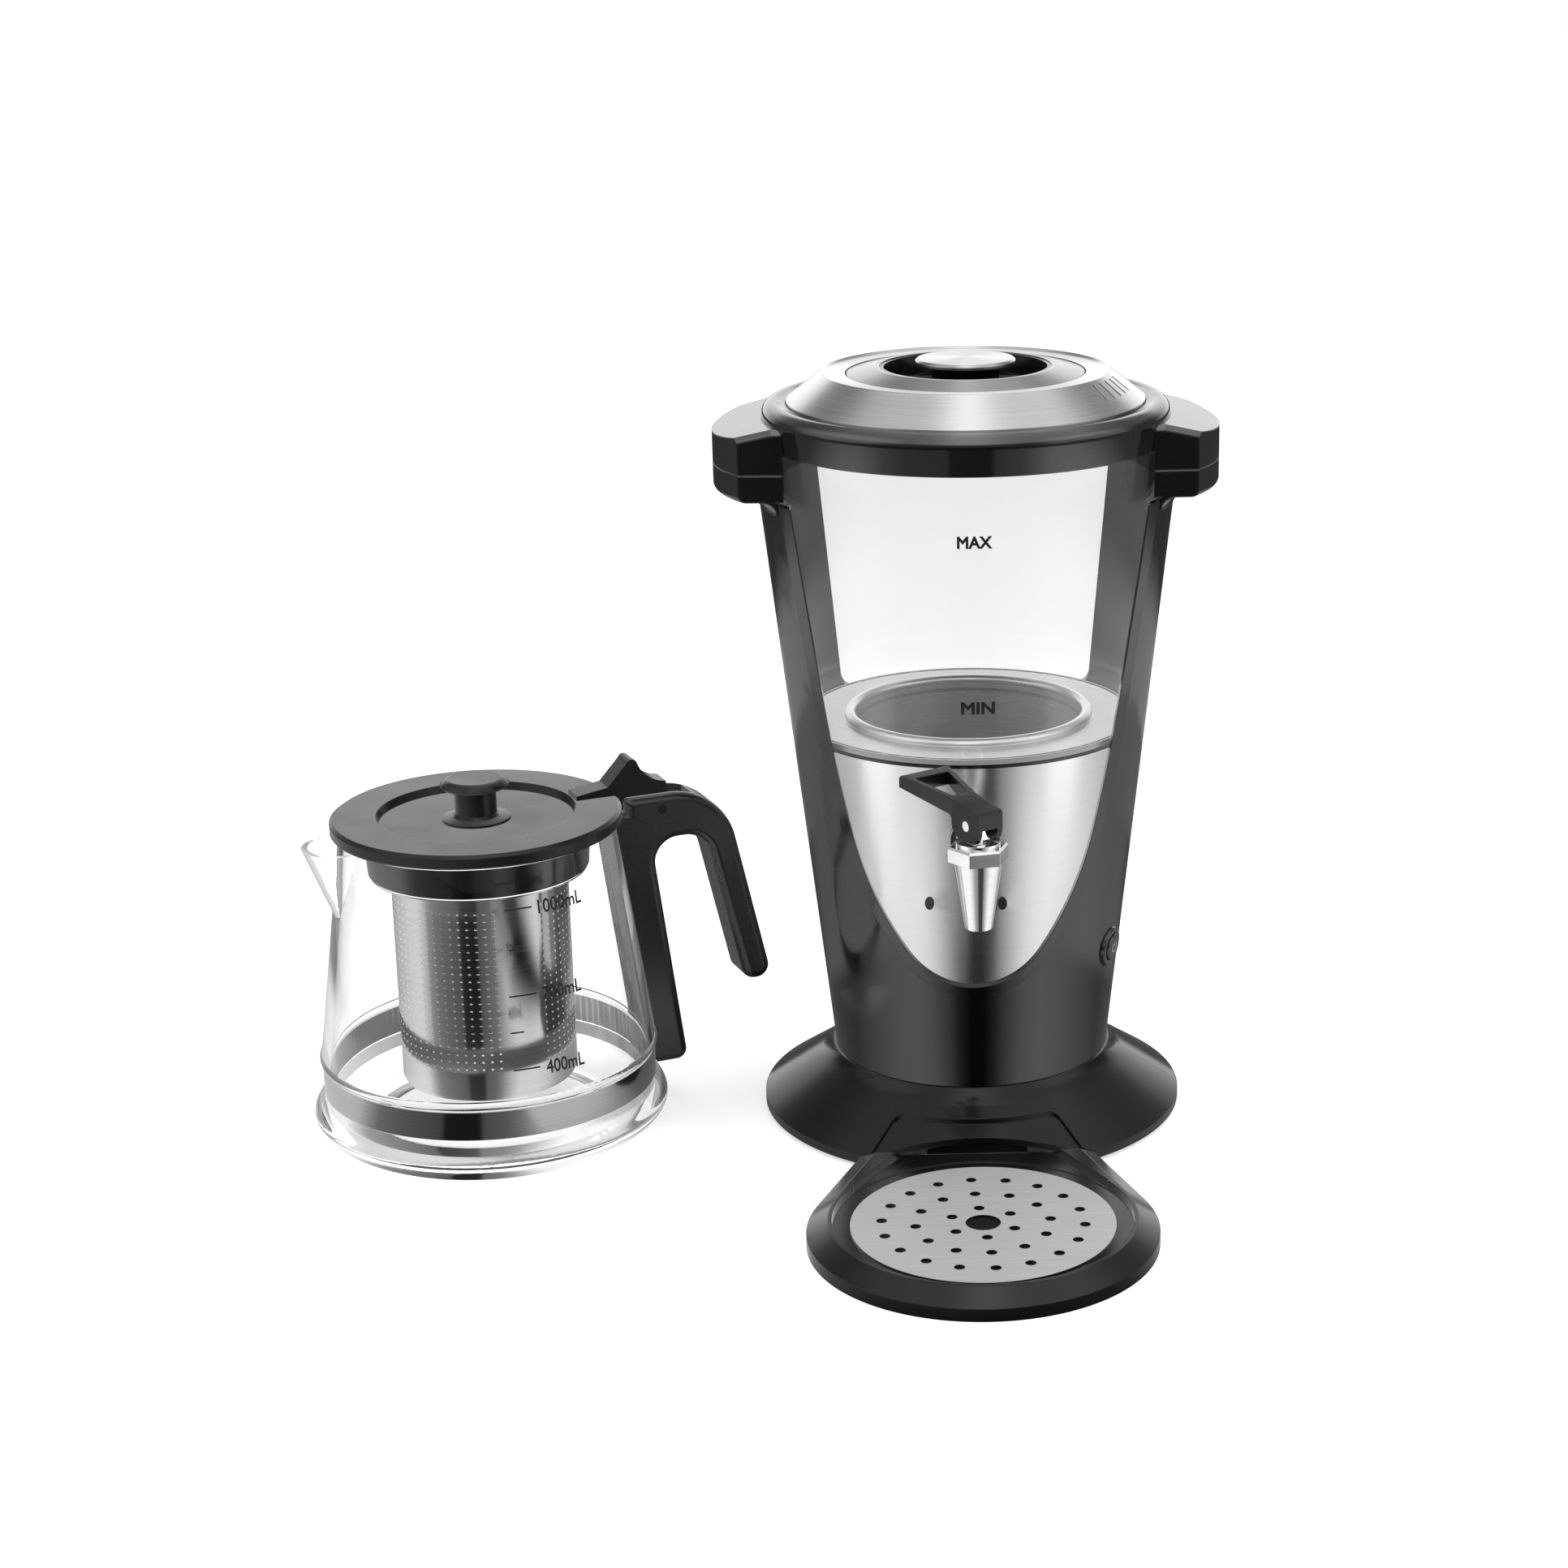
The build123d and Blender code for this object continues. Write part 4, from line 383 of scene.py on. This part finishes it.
finishes = {
    shellBlack: ["outer_shell", "button_bezel", "power_button", "tank_trim_ring"],
    trimBlack: ["lid_finger_cup", "base_skirt"],
    collarBlack: ["collar"],
    ringBlack: ["pot_holder_ring"],
    handleBlack: ["left_handle_lower", "left_handle_upper", "right_handle_lower", "right_handle_upper"],
    trayBlack: ["drip_tray"],
    tapBlack: ["tap_lever"],
    potBlack: ["pot_lid", "pot_lid_knob", "pot_hinge_pin"],
    gripBlack: ["pot_handle"],
    plateBlack: ["bottom_plate"],
    rubber: ["base_feet", "cord_gland", "tap_washer", "tap_vessel_seal", "tap_valve_cup", "lid_gasket"],
    cream: ["button_switch"],
    whitePlastic: ["tap_pin"],
    boardGreen: ["control_board"],
    darkLens: ["indicator_lenses"],
    jacketSteel: ["steel_jacket"],
    lidSteel: ["lid_ring"],
    innerSteel: ["inner_lid"],
    capSteel: ["lid_knob_cap"],
    vesselSteel: ["boiling_vessel"],
    grateSteel: ["drip_grate"],
    infuserSteel: ["pot_infuser"],
    bandSteel: ["pot_band"],
    chrome: ["tap_body", "tap_bonnet_nut", "tap_guide", "tap_stem"],
    zinc: ["base_screws", "heating_element", "thermostat", "tap_lock_nut", "lid_knob_screw"],
    aluminium: ["heater_plate"],
    tankClear: ["tank_glass"],
    potClear: ["pot_glass"],
}
for material, names in finishes.items():
    for name in names:
        slots = cadNodes[name].data.materials
        slots.clear()
        slots.append(material)
unfinished = sorted(set(cadNodes) - {name for names in finishes.values() for name in names})
print("materials set, left without one:", unfinished)

# left out of reflections, so that polished walls mirror the plain studio
hiddenFromMirrors = [
    "base_skirt", "outer_shell", "drip_tray", "drip_grate",
    "pot_handle", "pot_lid", "pot_lid_knob", "pot_holder_ring", "pot_hinge_pin",
]
for name in hiddenFromMirrors:
    cadNodes[name].visible_glossy = False

sharpFrom = 35      # degrees between faces, from where an edge is kept sharp


def makePiece(name, bm, material, body, smooth=False):
    mesh = bpy.data.meshes.new(name)
    for face in bm.faces:
        face.smooth = smooth
    for edge in bm.edges:
        edge.smooth = edge.calc_face_angle(0) < radians(sharpFrom)
    bm.to_mesh(mesh)
    bm.free()
    mesh.materials.append(material)
    piece = bpy.data.objects.new(name, mesh)
    bpy.context.scene.collection.objects.link(piece)
    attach(piece, body)
    return piece


def vertsOf(geom):
    return [item for item in geom if isinstance(item, bmesh.types.BMVert)]


infuserSetup = {
    "centre": potCentre,
    "radius": 31.5 * mm,
    "wall": 0.6 * mm,
    "columns": 64,
    "rows": 22,
    "pitch": 2.83 * mm,
    "firstRow": 93.8 * mm,      # height of the top row
    "hole": 0.58 * mm,      # radius
    "plainFrom": 20.0,      # degrees from the front, where the sheet's seam has no holes
    "plainTo": 43.0,
    "topZ": 102.5 * mm,
    "flangeRadius": 39.4 * mm,
    "floorZ": 22.0 * mm,
    "corner": 2.0 * mm,
    "cornerCut": 0.3,       # share of the corner that each of its two steps leaves over
    "floorRing": 0.4,       # share of the radius where the floor's last ring lies
    "discSide": 2.2,        # a square of so many hole radii is larger than a hole's disc, smaller than other faces
    "mergeWithin": 0.02 * mm,
    "levelWithin": 0.01 * mm,
}


def buildInfuser(setup):
    columns, rows, radius = setup["columns"], setup["rows"], setup["radius"]
    step = 2 * pi / columns
    seam = radians((setup["plainFrom"] + setup["plainTo"]) / 2)
    rowHeights = [setup["firstRow"] - setup["pitch"] * k for k in range(rows)]
    heights = [setup["floorZ"] + setup["corner"], *reversed(rowHeights), setup["topZ"] - setup["wall"]]
    # the sheet lies flat while its holes are cut
    bm = bmesh.new()
    bmesh.ops.create_grid(bm, x_segments=columns, y_segments=rows + 1, size=1.0)
    holes = []
    for vert in bm.verts:
        column = round((vert.co.x + 1) / 2 * columns)
        row = round((vert.co.y + 1) / 2 * (rows + 1))
        turn = seam + column * step
        ahead = (turn + pi) % (2 * pi) - pi     # -180 to 180 degrees from the front
        plain = radians(setup["plainFrom"]) < ahead < radians(setup["plainTo"])
        if 0 < row < rows + 1 and 0 < column < columns and not plain:
            holes.append(vert)
        vert.co = (column * step * radius, heights[row], 0)
    bmesh.ops.bevel(
        bm, geom=holes, offset=setup["hole"], offset_type="OFFSET",
        segments=2, profile=0.5, affect="VERTICES", material=-1,
    )
    discArea = (setup["discSide"] * setup["hole"]) ** 2
    discs = [face for face in bm.faces if face.calc_area() < discArea]
    bmesh.ops.delete(bm, geom=discs, context="FACES")
    # then it is rolled up and closed along the seam
    for vert in bm.verts:
        turn = seam + vert.co.x / radius
        vert.co = (radius * sin(turn), -radius * cos(turn), vert.co.y)
    bmesh.ops.remove_doubles(bm, verts=bm.verts, dist=setup["mergeWithin"])

    def rimAt(height):
        level = {vert for vert in bm.verts if abs(vert.co.z - height) < setup["levelWithin"]}
        return [edge for edge in bm.edges if edge.is_boundary and level.issuperset(edge.verts)]

    def stretch(edges, reach, rise):
        grown = bmesh.ops.extrude_edge_only(bm, edges=edges)["geom"]
        for vert in vertsOf(grown):
            turned = Vector((vert.co.x, vert.co.y)).normalized() * reach
            vert.co = (turned.x, turned.y, vert.co.z + rise)
        return [item for item in grown if isinstance(item, bmesh.types.BMEdge)]

    corner = setup["corner"]
    cut = setup["cornerCut"] * corner
    foot = stretch(rimAt(heights[0]), radius - cut, cut - corner)
    foot = stretch(foot, radius - corner, -cut)
    foot = stretch(foot, radius * setup["floorRing"], 0.0)
    bmesh.ops.holes_fill(bm, edges=foot, sides=0)
    stretch(rimAt(heights[-1]), setup["flangeRadius"], 0.0)
    bmesh.ops.recalc_face_normals(bm, faces=bm.faces)
    bmesh.ops.solidify(bm, geom=bm.faces[:], thickness=setup["wall"])
    bmesh.ops.translate(bm, verts=bm.verts, vec=setup["centre"])
    bmesh.ops.triangulate(bm, faces=[face for face in bm.faces if len(face.verts) > 4])
    piece = makePiece("infuserSieve", bm, infuserSteel, "teapot", smooth=True)
    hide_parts("pot_infuser")
    return piece


sieve = buildInfuser(infuserSetup)
sieve.visible_glossy = False
print("infuser sieve built,", len(sieve.data.polygons), "faces", [round(value, 4) for value in sieve.dimensions])

# marks printed on the tank and on the pot
# texts: words, bearing in degrees, then foot, letter height and width in mm, then boldness
# lines: from and to in degrees, height in mm
tankMarks = {
    "centre": (0.0, 0.0),
    "body": "housing",
    "wall": ((168.0 * mm, 62.35 * mm), (232.0 * mm, 66.88 * mm)),       # height and radius at two places
    "texts": [("MAX", 0.67, 228.0, 4.4, 12.1, 0.035), ("MIN", 1.45, 168.4, 4.6, 11.8, 0.035)],
    "lines": [],
}
potMarks = {
    "centre": potCentre[:2],
    "body": "teapot",
    "wall": ((45.0 * mm, 59.49 * mm), (102.0 * mm, 51.69 * mm)),
    "texts": [
        ("1000mL", 39.95, 98.6, 5.0, 18.3, 0.015),
        ("700mL", 36.15, 67.8, 5.0, 15.7, 0.015),
        ("400mL", 34.1, 41.4, 5.0, 15.1, 0.015),
    ],
    "lines": [(16.5, 27.4, 101.5), (17.1, 22.3, 87.2), (15.8, 25.9, 70.8), (15.4, 20.2, 57.8), (15.5, 24.7, 44.4)],
    "lineHeight": 0.55 * mm,
}
inkLift = 0.12 * mm      # from the wall out to the back of the print
inkDepth = 0.06 * mm     # the print goes inwards from there


def radiusAt(setup, height):
    (lowZ, lowR), (highZ, highR) = setup["wall"]
    return lowR + (highR - lowR) * (height - lowZ) / (highZ - lowZ)


def wrapOn(setup, bm, bearing):
    for vert in bm.verts:
        outer = radiusAt(setup, vert.co.y) + inkLift
        reach = outer - vert.co.z
        turn = radians(bearing) + vert.co.x / outer
        vert.co = (setup["centre"][0] + reach * sin(turn), setup["centre"][1] - reach * cos(turn), vert.co.y)


def printedText(words, height, width, weight):
    data = bpy.data.curves.new(words, "FONT")
    data.body = words
    data.size = 1.0
    data.extrude = weight
    data.bevel_depth = weight
    data.bevel_resolution = 0
    data.resolution_u = 4
    data.align_x = "CENTER"
    helper = bpy.data.objects.new(words, data)
    mesh = bpy.data.meshes.new_from_object(helper)
    bpy.data.objects.remove(helper)
    bpy.data.curves.remove(data)
    bm = bmesh.new()
    bm.from_mesh(mesh)
    bpy.data.meshes.remove(mesh)
    bmesh.ops.remove_doubles(bm, verts=bm.verts, dist=0.0001)
    xs = [vert.co.x for vert in bm.verts]
    ys = [vert.co.y for vert in bm.verts]
    middle, wide = (max(xs) + min(xs)) / 2, max(xs) - min(xs)
    foot, tall = min(ys), max(ys) - min(ys)
    for vert in bm.verts:
        depth = (vert.co.z / weight + 2) / 4        # 0 to 1 from one side of the letters to the other
        vert.co = ((vert.co.x - middle) * width / wide, (vert.co.y - foot) * height / tall, depth * inkDepth)
    return bm


def printedLine(setup, start, end, height):
    bm = bmesh.new()
    bmesh.ops.create_grid(bm, x_segments=10, y_segments=1, size=0.5)
    length = radians(end - start) * radiusAt(setup, height)
    bmesh.ops.scale(bm, verts=bm.verts, vec=(length, setup["lineHeight"], 1))
    grown = bmesh.ops.extrude_face_region(bm, geom=bm.faces[:])["geom"]
    bmesh.ops.translate(bm, verts=vertsOf(grown), vec=(0, 0, inkDepth))
    bmesh.ops.translate(bm, verts=bm.verts, vec=(0, height, 0))
    return bm


def printMarks(name, setup, material):
    pieces = []
    for words, bearing, foot, height, width, weight in setup["texts"]:
        bm = printedText(words, height * mm, width * mm, weight)
        bmesh.ops.translate(bm, verts=bm.verts, vec=(0, foot * mm, 0))
        pieces.append((bm, bearing))
    for start, end, height in setup["lines"]:
        pieces.append((printedLine(setup, start, end, height * mm), (start + end) / 2))
    whole = bmesh.new()
    for bm, bearing in pieces:
        wrapOn(setup, bm, bearing)
        bmesh.ops.recalc_face_normals(bm, faces=bm.faces)
        part = bpy.data.meshes.new("part")
        bm.to_mesh(part)
        bm.free()
        whole.from_mesh(part)
        bpy.data.meshes.remove(part)
    return makePiece(name, whole, material, setup["body"])


printMarks("tankMarks", tankMarks, inkBlack)
printMarks("potMarks", potMarks, inkBlack)
print("level marks printed")

powerMark = {
    "bearing": 65.0,        # round the body, from the front towards +X
    "height": 67.7 * mm,
    "reach": 57.62 * mm,
    "lean": 6.4,        # degrees, with the shell
    "ring": 1.9 * mm,
    "ringSteps": 24,
    "stroke": 0.42 * mm,
    "gap": 70.0,        # degrees left open at the top of the ring
    "barLength": 1.15,      # as shares of the ring's radius
    "barRise": 0.72,
    "depth": 0.08 * mm,
}


def buildPowerMark(setup):
    bm = bmesh.new()
    ring, half = setup["ring"], setup["stroke"] / 2
    base = [bm.verts.new((ring + side * half, 0, 0)) for side in (-1, 1)]
    edge = bm.edges.new(base)
    start = Quaternion((0, 0, 1), radians(90 + setup["gap"] / 2))
    bmesh.ops.rotate(bm, verts=base, cent=(0, 0, 0), matrix=start.to_matrix())
    bmesh.ops.spin(
        bm, geom=base + [edge], cent=(0, 0, 0), axis=(0, 0, 1),
        angle=radians(360 - setup["gap"]), steps=setup["ringSteps"], use_merge=False,
    )
    bar = bmesh.ops.create_grid(bm, x_segments=1, y_segments=1, size=0.5)["verts"]
    bmesh.ops.scale(bm, verts=bar, vec=(setup["stroke"], ring * setup["barLength"], 1))
    bmesh.ops.translate(bm, verts=bar, vec=(0, ring * setup["barRise"], 0))
    grown = bmesh.ops.extrude_face_region(bm, geom=bm.faces[:])["geom"]
    bmesh.ops.translate(bm, verts=vertsOf(grown), vec=(0, 0, setup["depth"]))
    bmesh.ops.recalc_face_normals(bm, faces=bm.faces)
    # the mark is stood upright with the shell's lean, then turned to the button's bearing
    turn = radians(setup["bearing"])
    upright = Quaternion((1, 0, 0), radians(90 + setup["lean"]))
    facing = Quaternion((0, 0, 1), turn) @ upright
    bmesh.ops.rotate(bm, verts=bm.verts, cent=(0, 0, 0), matrix=facing.to_matrix())
    place = (setup["reach"] * sin(turn), -setup["reach"] * cos(turn), setup["height"])
    bmesh.ops.translate(bm, verts=bm.verts, vec=place)
    return makePiece("powerMark", bm, inkGrey, "button")


buildPowerMark(powerMark)
print("power mark built")

# in this dictionary the pairs in a ramp are degrees and brightness, and a pair (from, to) is where a change runs
stageSetup = {
    "floorReach": 6.0,
    "floorColour": (0.8, 0.8, 0.8),
    "floorLift": 0.55,      # glow that keeps the floor pale
    "lamps": [      # name, place, aim, size, power
        ("leftPanel", (-1.3, -0.5, 0.8), (0, 0, 0.12), (0.5, 1.2), 9.0),
        ("rightPanel", (1.3, -0.3, 0.8), (0, 0, 0.12), (0.5, 1.2), 9.0),
        ("topPanel", (0, 0.1, 1.4), (-0.05, 0, 0.1), (1.2, 0.8), 6.0),
    ],
    "worldLight": 0.6,
    # the studio as glossy faces see it: a dim room, a bright wall behind, a ceiling and a panel on each side
    "mirrorBase": 0.14,
    "mirrorBack": 1.4,
    "backFrom": (0.6, 0.95),
    "backBelow": (0.5, 0.32),
    "sidePanels": [     # towards, from, to, brightness
        ((-0.9, -0.2, 0.35), 0.75, 0.97, 0.6),
        ((0.9, -0.3, 0.2), 0.8, 0.97, 0.6),
    ],
    "toCamera": (-0.027, -0.954),       # the level part of the way there
    # ceiling, by the bearing of the part of a turned lid that mirrors it
    "ceiling": [
        (-180, 0.7), (-110, 0.5), (-75, 0.35), (-62, 0.2), (-54, 0.12), (-46, 0.26), (-39, 0.55), (-32, 0.62),
        (-23, 0.72), (-17, 0.72), (-12, 0.9), (-9, 1.1), (-6, 1.45), (-3, 1.65), (1, 1.65), (4, 1.5), (7, 1.25),
        (10, 1.02), (15, 0.9), (26, 0.92), (32, 0.98), (36, 0.8), (42, 0.5), (50, 0.26), (55, 0.24), (62, 0.3),
        (75, 0.45), (110, 0.5), (180, 0.7),
    ],
    "ceilingFrom": (0.2, 0.45),
    # floor, by bearing round a point, as upright walls mirror it in rings that start at rising reaches
    "floorPoint": (0.0, -0.03),
    "floorRings": [
        (0.0, [
            (-150, 0.12), (-105, 0.2), (-85, 0.5), (-62, 0.9), (-50, 1.0), (-36, 0.85), (-22, 0.45), (-12, 0.12),
            (-3, 0.0), (9, 0.0), (18, 0.12), (28, 0.45), (42, 0.85), (56, 1.0), (68, 0.9), (92, 0.5), (112, 0.2),
            (150, 0.12),
        ]),
        (0.165, [
            (-150, 0.1), (-115, 0.5), (-90, 0.9), (-65, 1.1), (-40, 1.1), (-27, 0.85), (-16, 0.42), (-3, 0.26),
            (-1, 0.06), (17.6, 0.06), (19.6, 0.3), (26, 0.42), (34, 0.7), (44, 1.0), (60, 1.1), (92, 0.9),
            (115, 0.5), (150, 0.1),
        ]),
        (0.33, [
            (-150, 0.2), (-112, 0.55), (-86, 0.8), (-72, 1.9), (-60, 1.9), (-48, 0.85), (-26, 0.4), (-14, 0.03),
            (15, 0.03), (28, 0.4), (48, 0.85), (58, 1.9), (70, 1.9), (84, 0.8), (112, 0.55), (150, 0.2),
        ]),
        (0.48, [
            (-150, 0.4), (-120, 0.85), (-76, 1.0), (-66, 0.85), (-50, 0.35), (-38, 0.2), (-12.5, 0.17),
            (-10.5, 0.03), (13, 0.03), (15, 0.2), (30, 0.3), (41, 0.6), (48, 0.85), (62, 1.0), (100, 1.0),
            (125, 0.75), (150, 0.4),
        ]),
    ],
    "ringBlend": 0.012,
    # round the pot, for its infuser behind the glass and for its band close to the floor
    "potPoint": (-0.1794, -0.034),
    "potRing": [
        (-158, 0.38), (-128, 0.68), (-98, 0.95), (-88, 1.0), (-78, 0.95), (-72, 0.65), (-62, 0.3), (-48, 0.2),
        (-21.5, 0.11), (-19.5, 0.02), (1, 0.02), (3, 0.14), (16, 0.2), (24, 0.33), (36, 0.7), (48, 1.0),
        (72, 1.0), (88, 0.8), (102, 0.5), (122, 0.3),
    ],
    "potDepth": 2.5,        # bounces, past which a ray comes from behind the glass
    "potWithin": (0.36, 0.32),
    "potAcross": (-0.05, -0.09),
    "bandWithin": 0.12,
    "bandAcross": (-0.115, -0.13),
    "brightest": 2.0,       # the top of every ramp
    "farFrom": (0.62, 0.78),        # where the floor darkens in reflections
    "farShare": 0.85,
}


def softStep(tree, value, low, high):
    inputs = {"Value": value, "From Min": low, "From Max": high}
    return addNode(tree, "MapRange", inputs, interpolation_type="SMOOTHSTEP").outputs["Result"]


def toneByBearing(tree, bearing, stops, most):
    turn = addNode(tree, "MapRange", {"Value": bearing, "From Min": -pi, "From Max": pi})
    ramp = addNode(tree, "ValToRGB", {"Fac": turn.outputs["Result"]})
    points = ramp.color_ramp.elements
    while len(points) < len(stops):
        points.new(0.5)
    for point, (angle, tone) in zip(points, stops):
        point.position = (angle + 180) / 360
        point.color = (tone / most, tone / most, tone / most, 1)
    return mathNode(tree, "MULTIPLY", ramp.outputs["Color"], most)


def blendTones(tree, mask, first, second):
    return addNode(tree, "MapRange", {"Value": mask, "To Min": first, "To Max": second}).outputs["Result"]


def makeWorld(setup):
    world = bpy.data.worlds.new("studio")
    bpy.context.scene.world = world
    world.use_nodes = True
    tree = world.node_tree
    tree.nodes.clear()
    toward = addNode(tree, "TexCoord").outputs["Generated"]
    x, y, z = addNode(tree, "SeparateXYZ", {0: toward}).outputs
    back = mathNode(tree, "MULTIPLY", softStep(tree, y, *setup["backFrom"]), setup["mirrorBack"])
    back = mathNode(tree, "MULTIPLY", back, softStep(tree, z, *setup["backBelow"]))
    level = mathNode(tree, "ADD", back, setup["mirrorBase"])
    toX, toY = setup["toCamera"]
    turned = mathNode(tree, "ARCTAN2", mathNode(tree, "ADD", x, toX), mathNode(tree, "SUBTRACT", -toY, y))
    ceiling = toneByBearing(tree, turned, setup["ceiling"], setup["brightest"])
    ceiling = mathNode(tree, "MULTIPLY", ceiling, softStep(tree, z, *setup["ceilingFrom"]))
    level = mathNode(tree, "ADD", level, ceiling)
    for aim, start, end, gain in setup["sidePanels"]:
        facing = addNode(tree, "VectorMath", {0: toward, 1: Vector(aim).normalized()}, operation="DOT_PRODUCT")
        panel = mathNode(tree, "MULTIPLY", softStep(tree, facing.outputs["Value"], start, end), gain)
        level = mathNode(tree, "ADD", level, panel)
    white = (1, 1, 1, 1)
    lit = addNode(tree, "Background", {"Color": white, "Strength": setup["worldLight"]})
    seen = addNode(tree, "Background", {"Color": white})
    mirrored = addNode(tree, "Background", {"Color": white, "Strength": level})
    path = addNode(tree, "LightPath")
    around = mixShaders(tree, path.outputs["Is Glossy Ray"], lit.outputs[0], mirrored.outputs[0])
    direct = mathNode(tree, "MAXIMUM", path.outputs["Is Camera Ray"], path.outputs["Is Transmission Ray"])
    addNode(tree, "OutputWorld", {"Surface": mixShaders(tree, direct, around, seen.outputs[0])})


def aroundPoint(tree, spot, point):
    away = addNode(tree, "VectorMath", {0: spot, 1: (*point, 0)}, operation="SUBTRACT").outputs[0]
    x, y = addNode(tree, "SeparateXYZ", {0: away}).outputs[:2]
    reach = addNode(tree, "VectorMath", {0: away}, operation="LENGTH").outputs["Value"]
    bearing = mathNode(tree, "ARCTAN2", x, mathNode(tree, "MULTIPLY", y, -1.0))
    return bearing, reach, x


def floorTone(tree, path, setup):
    spot = addNode(tree, "TexCoord").outputs["Object"]
    bearing, reach, across = aroundPoint(tree, spot, setup["floorPoint"])
    most, blend = setup["brightest"], setup["ringBlend"]
    tone = None
    for start, stops in setup["floorRings"]:
        ring = toneByBearing(tree, bearing, stops, most)
        if tone is None:
            tone = ring
        else:
            tone = blendTones(tree, softStep(tree, reach, start - blend, start + blend), tone, ring)
    potBearing, potReach = aroundPoint(tree, spot, setup["potPoint"])[:2]
    behindGlass = mathNode(tree, "GREATER_THAN", path.outputs["Ray Depth"], setup["potDepth"])
    near = mathNode(tree, "MULTIPLY", behindGlass, softStep(tree, potReach, *setup["potWithin"]))
    near = mathNode(tree, "MULTIPLY", near, softStep(tree, across, *setup["potAcross"]))
    short = mathNode(tree, "LESS_THAN", path.outputs["Ray Length"], setup["bandWithin"])
    byBand = mathNode(tree, "MULTIPLY", short, softStep(tree, across, *setup["bandAcross"]))
    near = mathNode(tree, "MAXIMUM", near, byBand)
    tone = blendTones(tree, near, tone, toneByBearing(tree, potBearing, setup["potRing"], most))
    far = mathNode(tree, "MULTIPLY", softStep(tree, reach, *setup["farFrom"]), setup["farShare"])
    return mathNode(tree, "MULTIPLY", tone, mathNode(tree, "SUBTRACT", 1.0, far))


def makeFloor(setup):
    bm = bmesh.new()
    bmesh.ops.create_grid(bm, x_segments=1, y_segments=1, size=setup["floorReach"])
    mesh = bpy.data.meshes.new("floor")
    bm.to_mesh(mesh)
    bm.free()
    floor = bpy.data.objects.new("floor", mesh)
    bpy.context.scene.collection.objects.link(floor)
    material, tree, shader = newMaterial("paleFloor", setup["floorColour"], Roughness=0.9, Specular_IOR_Level=0.1)
    path = addNode(tree, "LightPath")
    seen = mathNode(tree, "MAXIMUM", path.outputs["Is Camera Ray"], path.outputs["Is Glossy Ray"])
    seen = mathNode(tree, "MAXIMUM", seen, path.outputs["Is Transmission Ray"])
    shader.inputs["Emission Color"].default_value = (1, 1, 1, 1)
    tree.links.new(mathNode(tree, "MULTIPLY", seen, setup["floorLift"]), shader.inputs["Emission Strength"])
    mirror = addNode(tree, "Emission", {"Strength": floorTone(tree, path, setup)})
    setSurface(tree, mixShaders(tree, mirroredRays(tree, path), shader.outputs[0], mirror.outputs[0]))
    mesh.materials.append(material)


def addLamp(name, place, aim, size, power):
    data = bpy.data.lights.new(name, "AREA")
    data.shape = "RECTANGLE"
    data.size, data.size_y = size
    data.energy = power
    lamp = bpy.data.objects.new(name, data)
    bpy.context.scene.collection.objects.link(lamp)
    lamp.location = place
    lamp.rotation_mode = "QUATERNION"
    lamp.rotation_quaternion = (Vector(place) - Vector(aim)).to_track_quat("Z", "Y")
    lamp.visible_glossy = False


makeWorld(stageSetup)
makeFloor(stageSetup)
for lamp in stageSetup["lamps"]:
    addLamp(*lamp)
print("stage set")
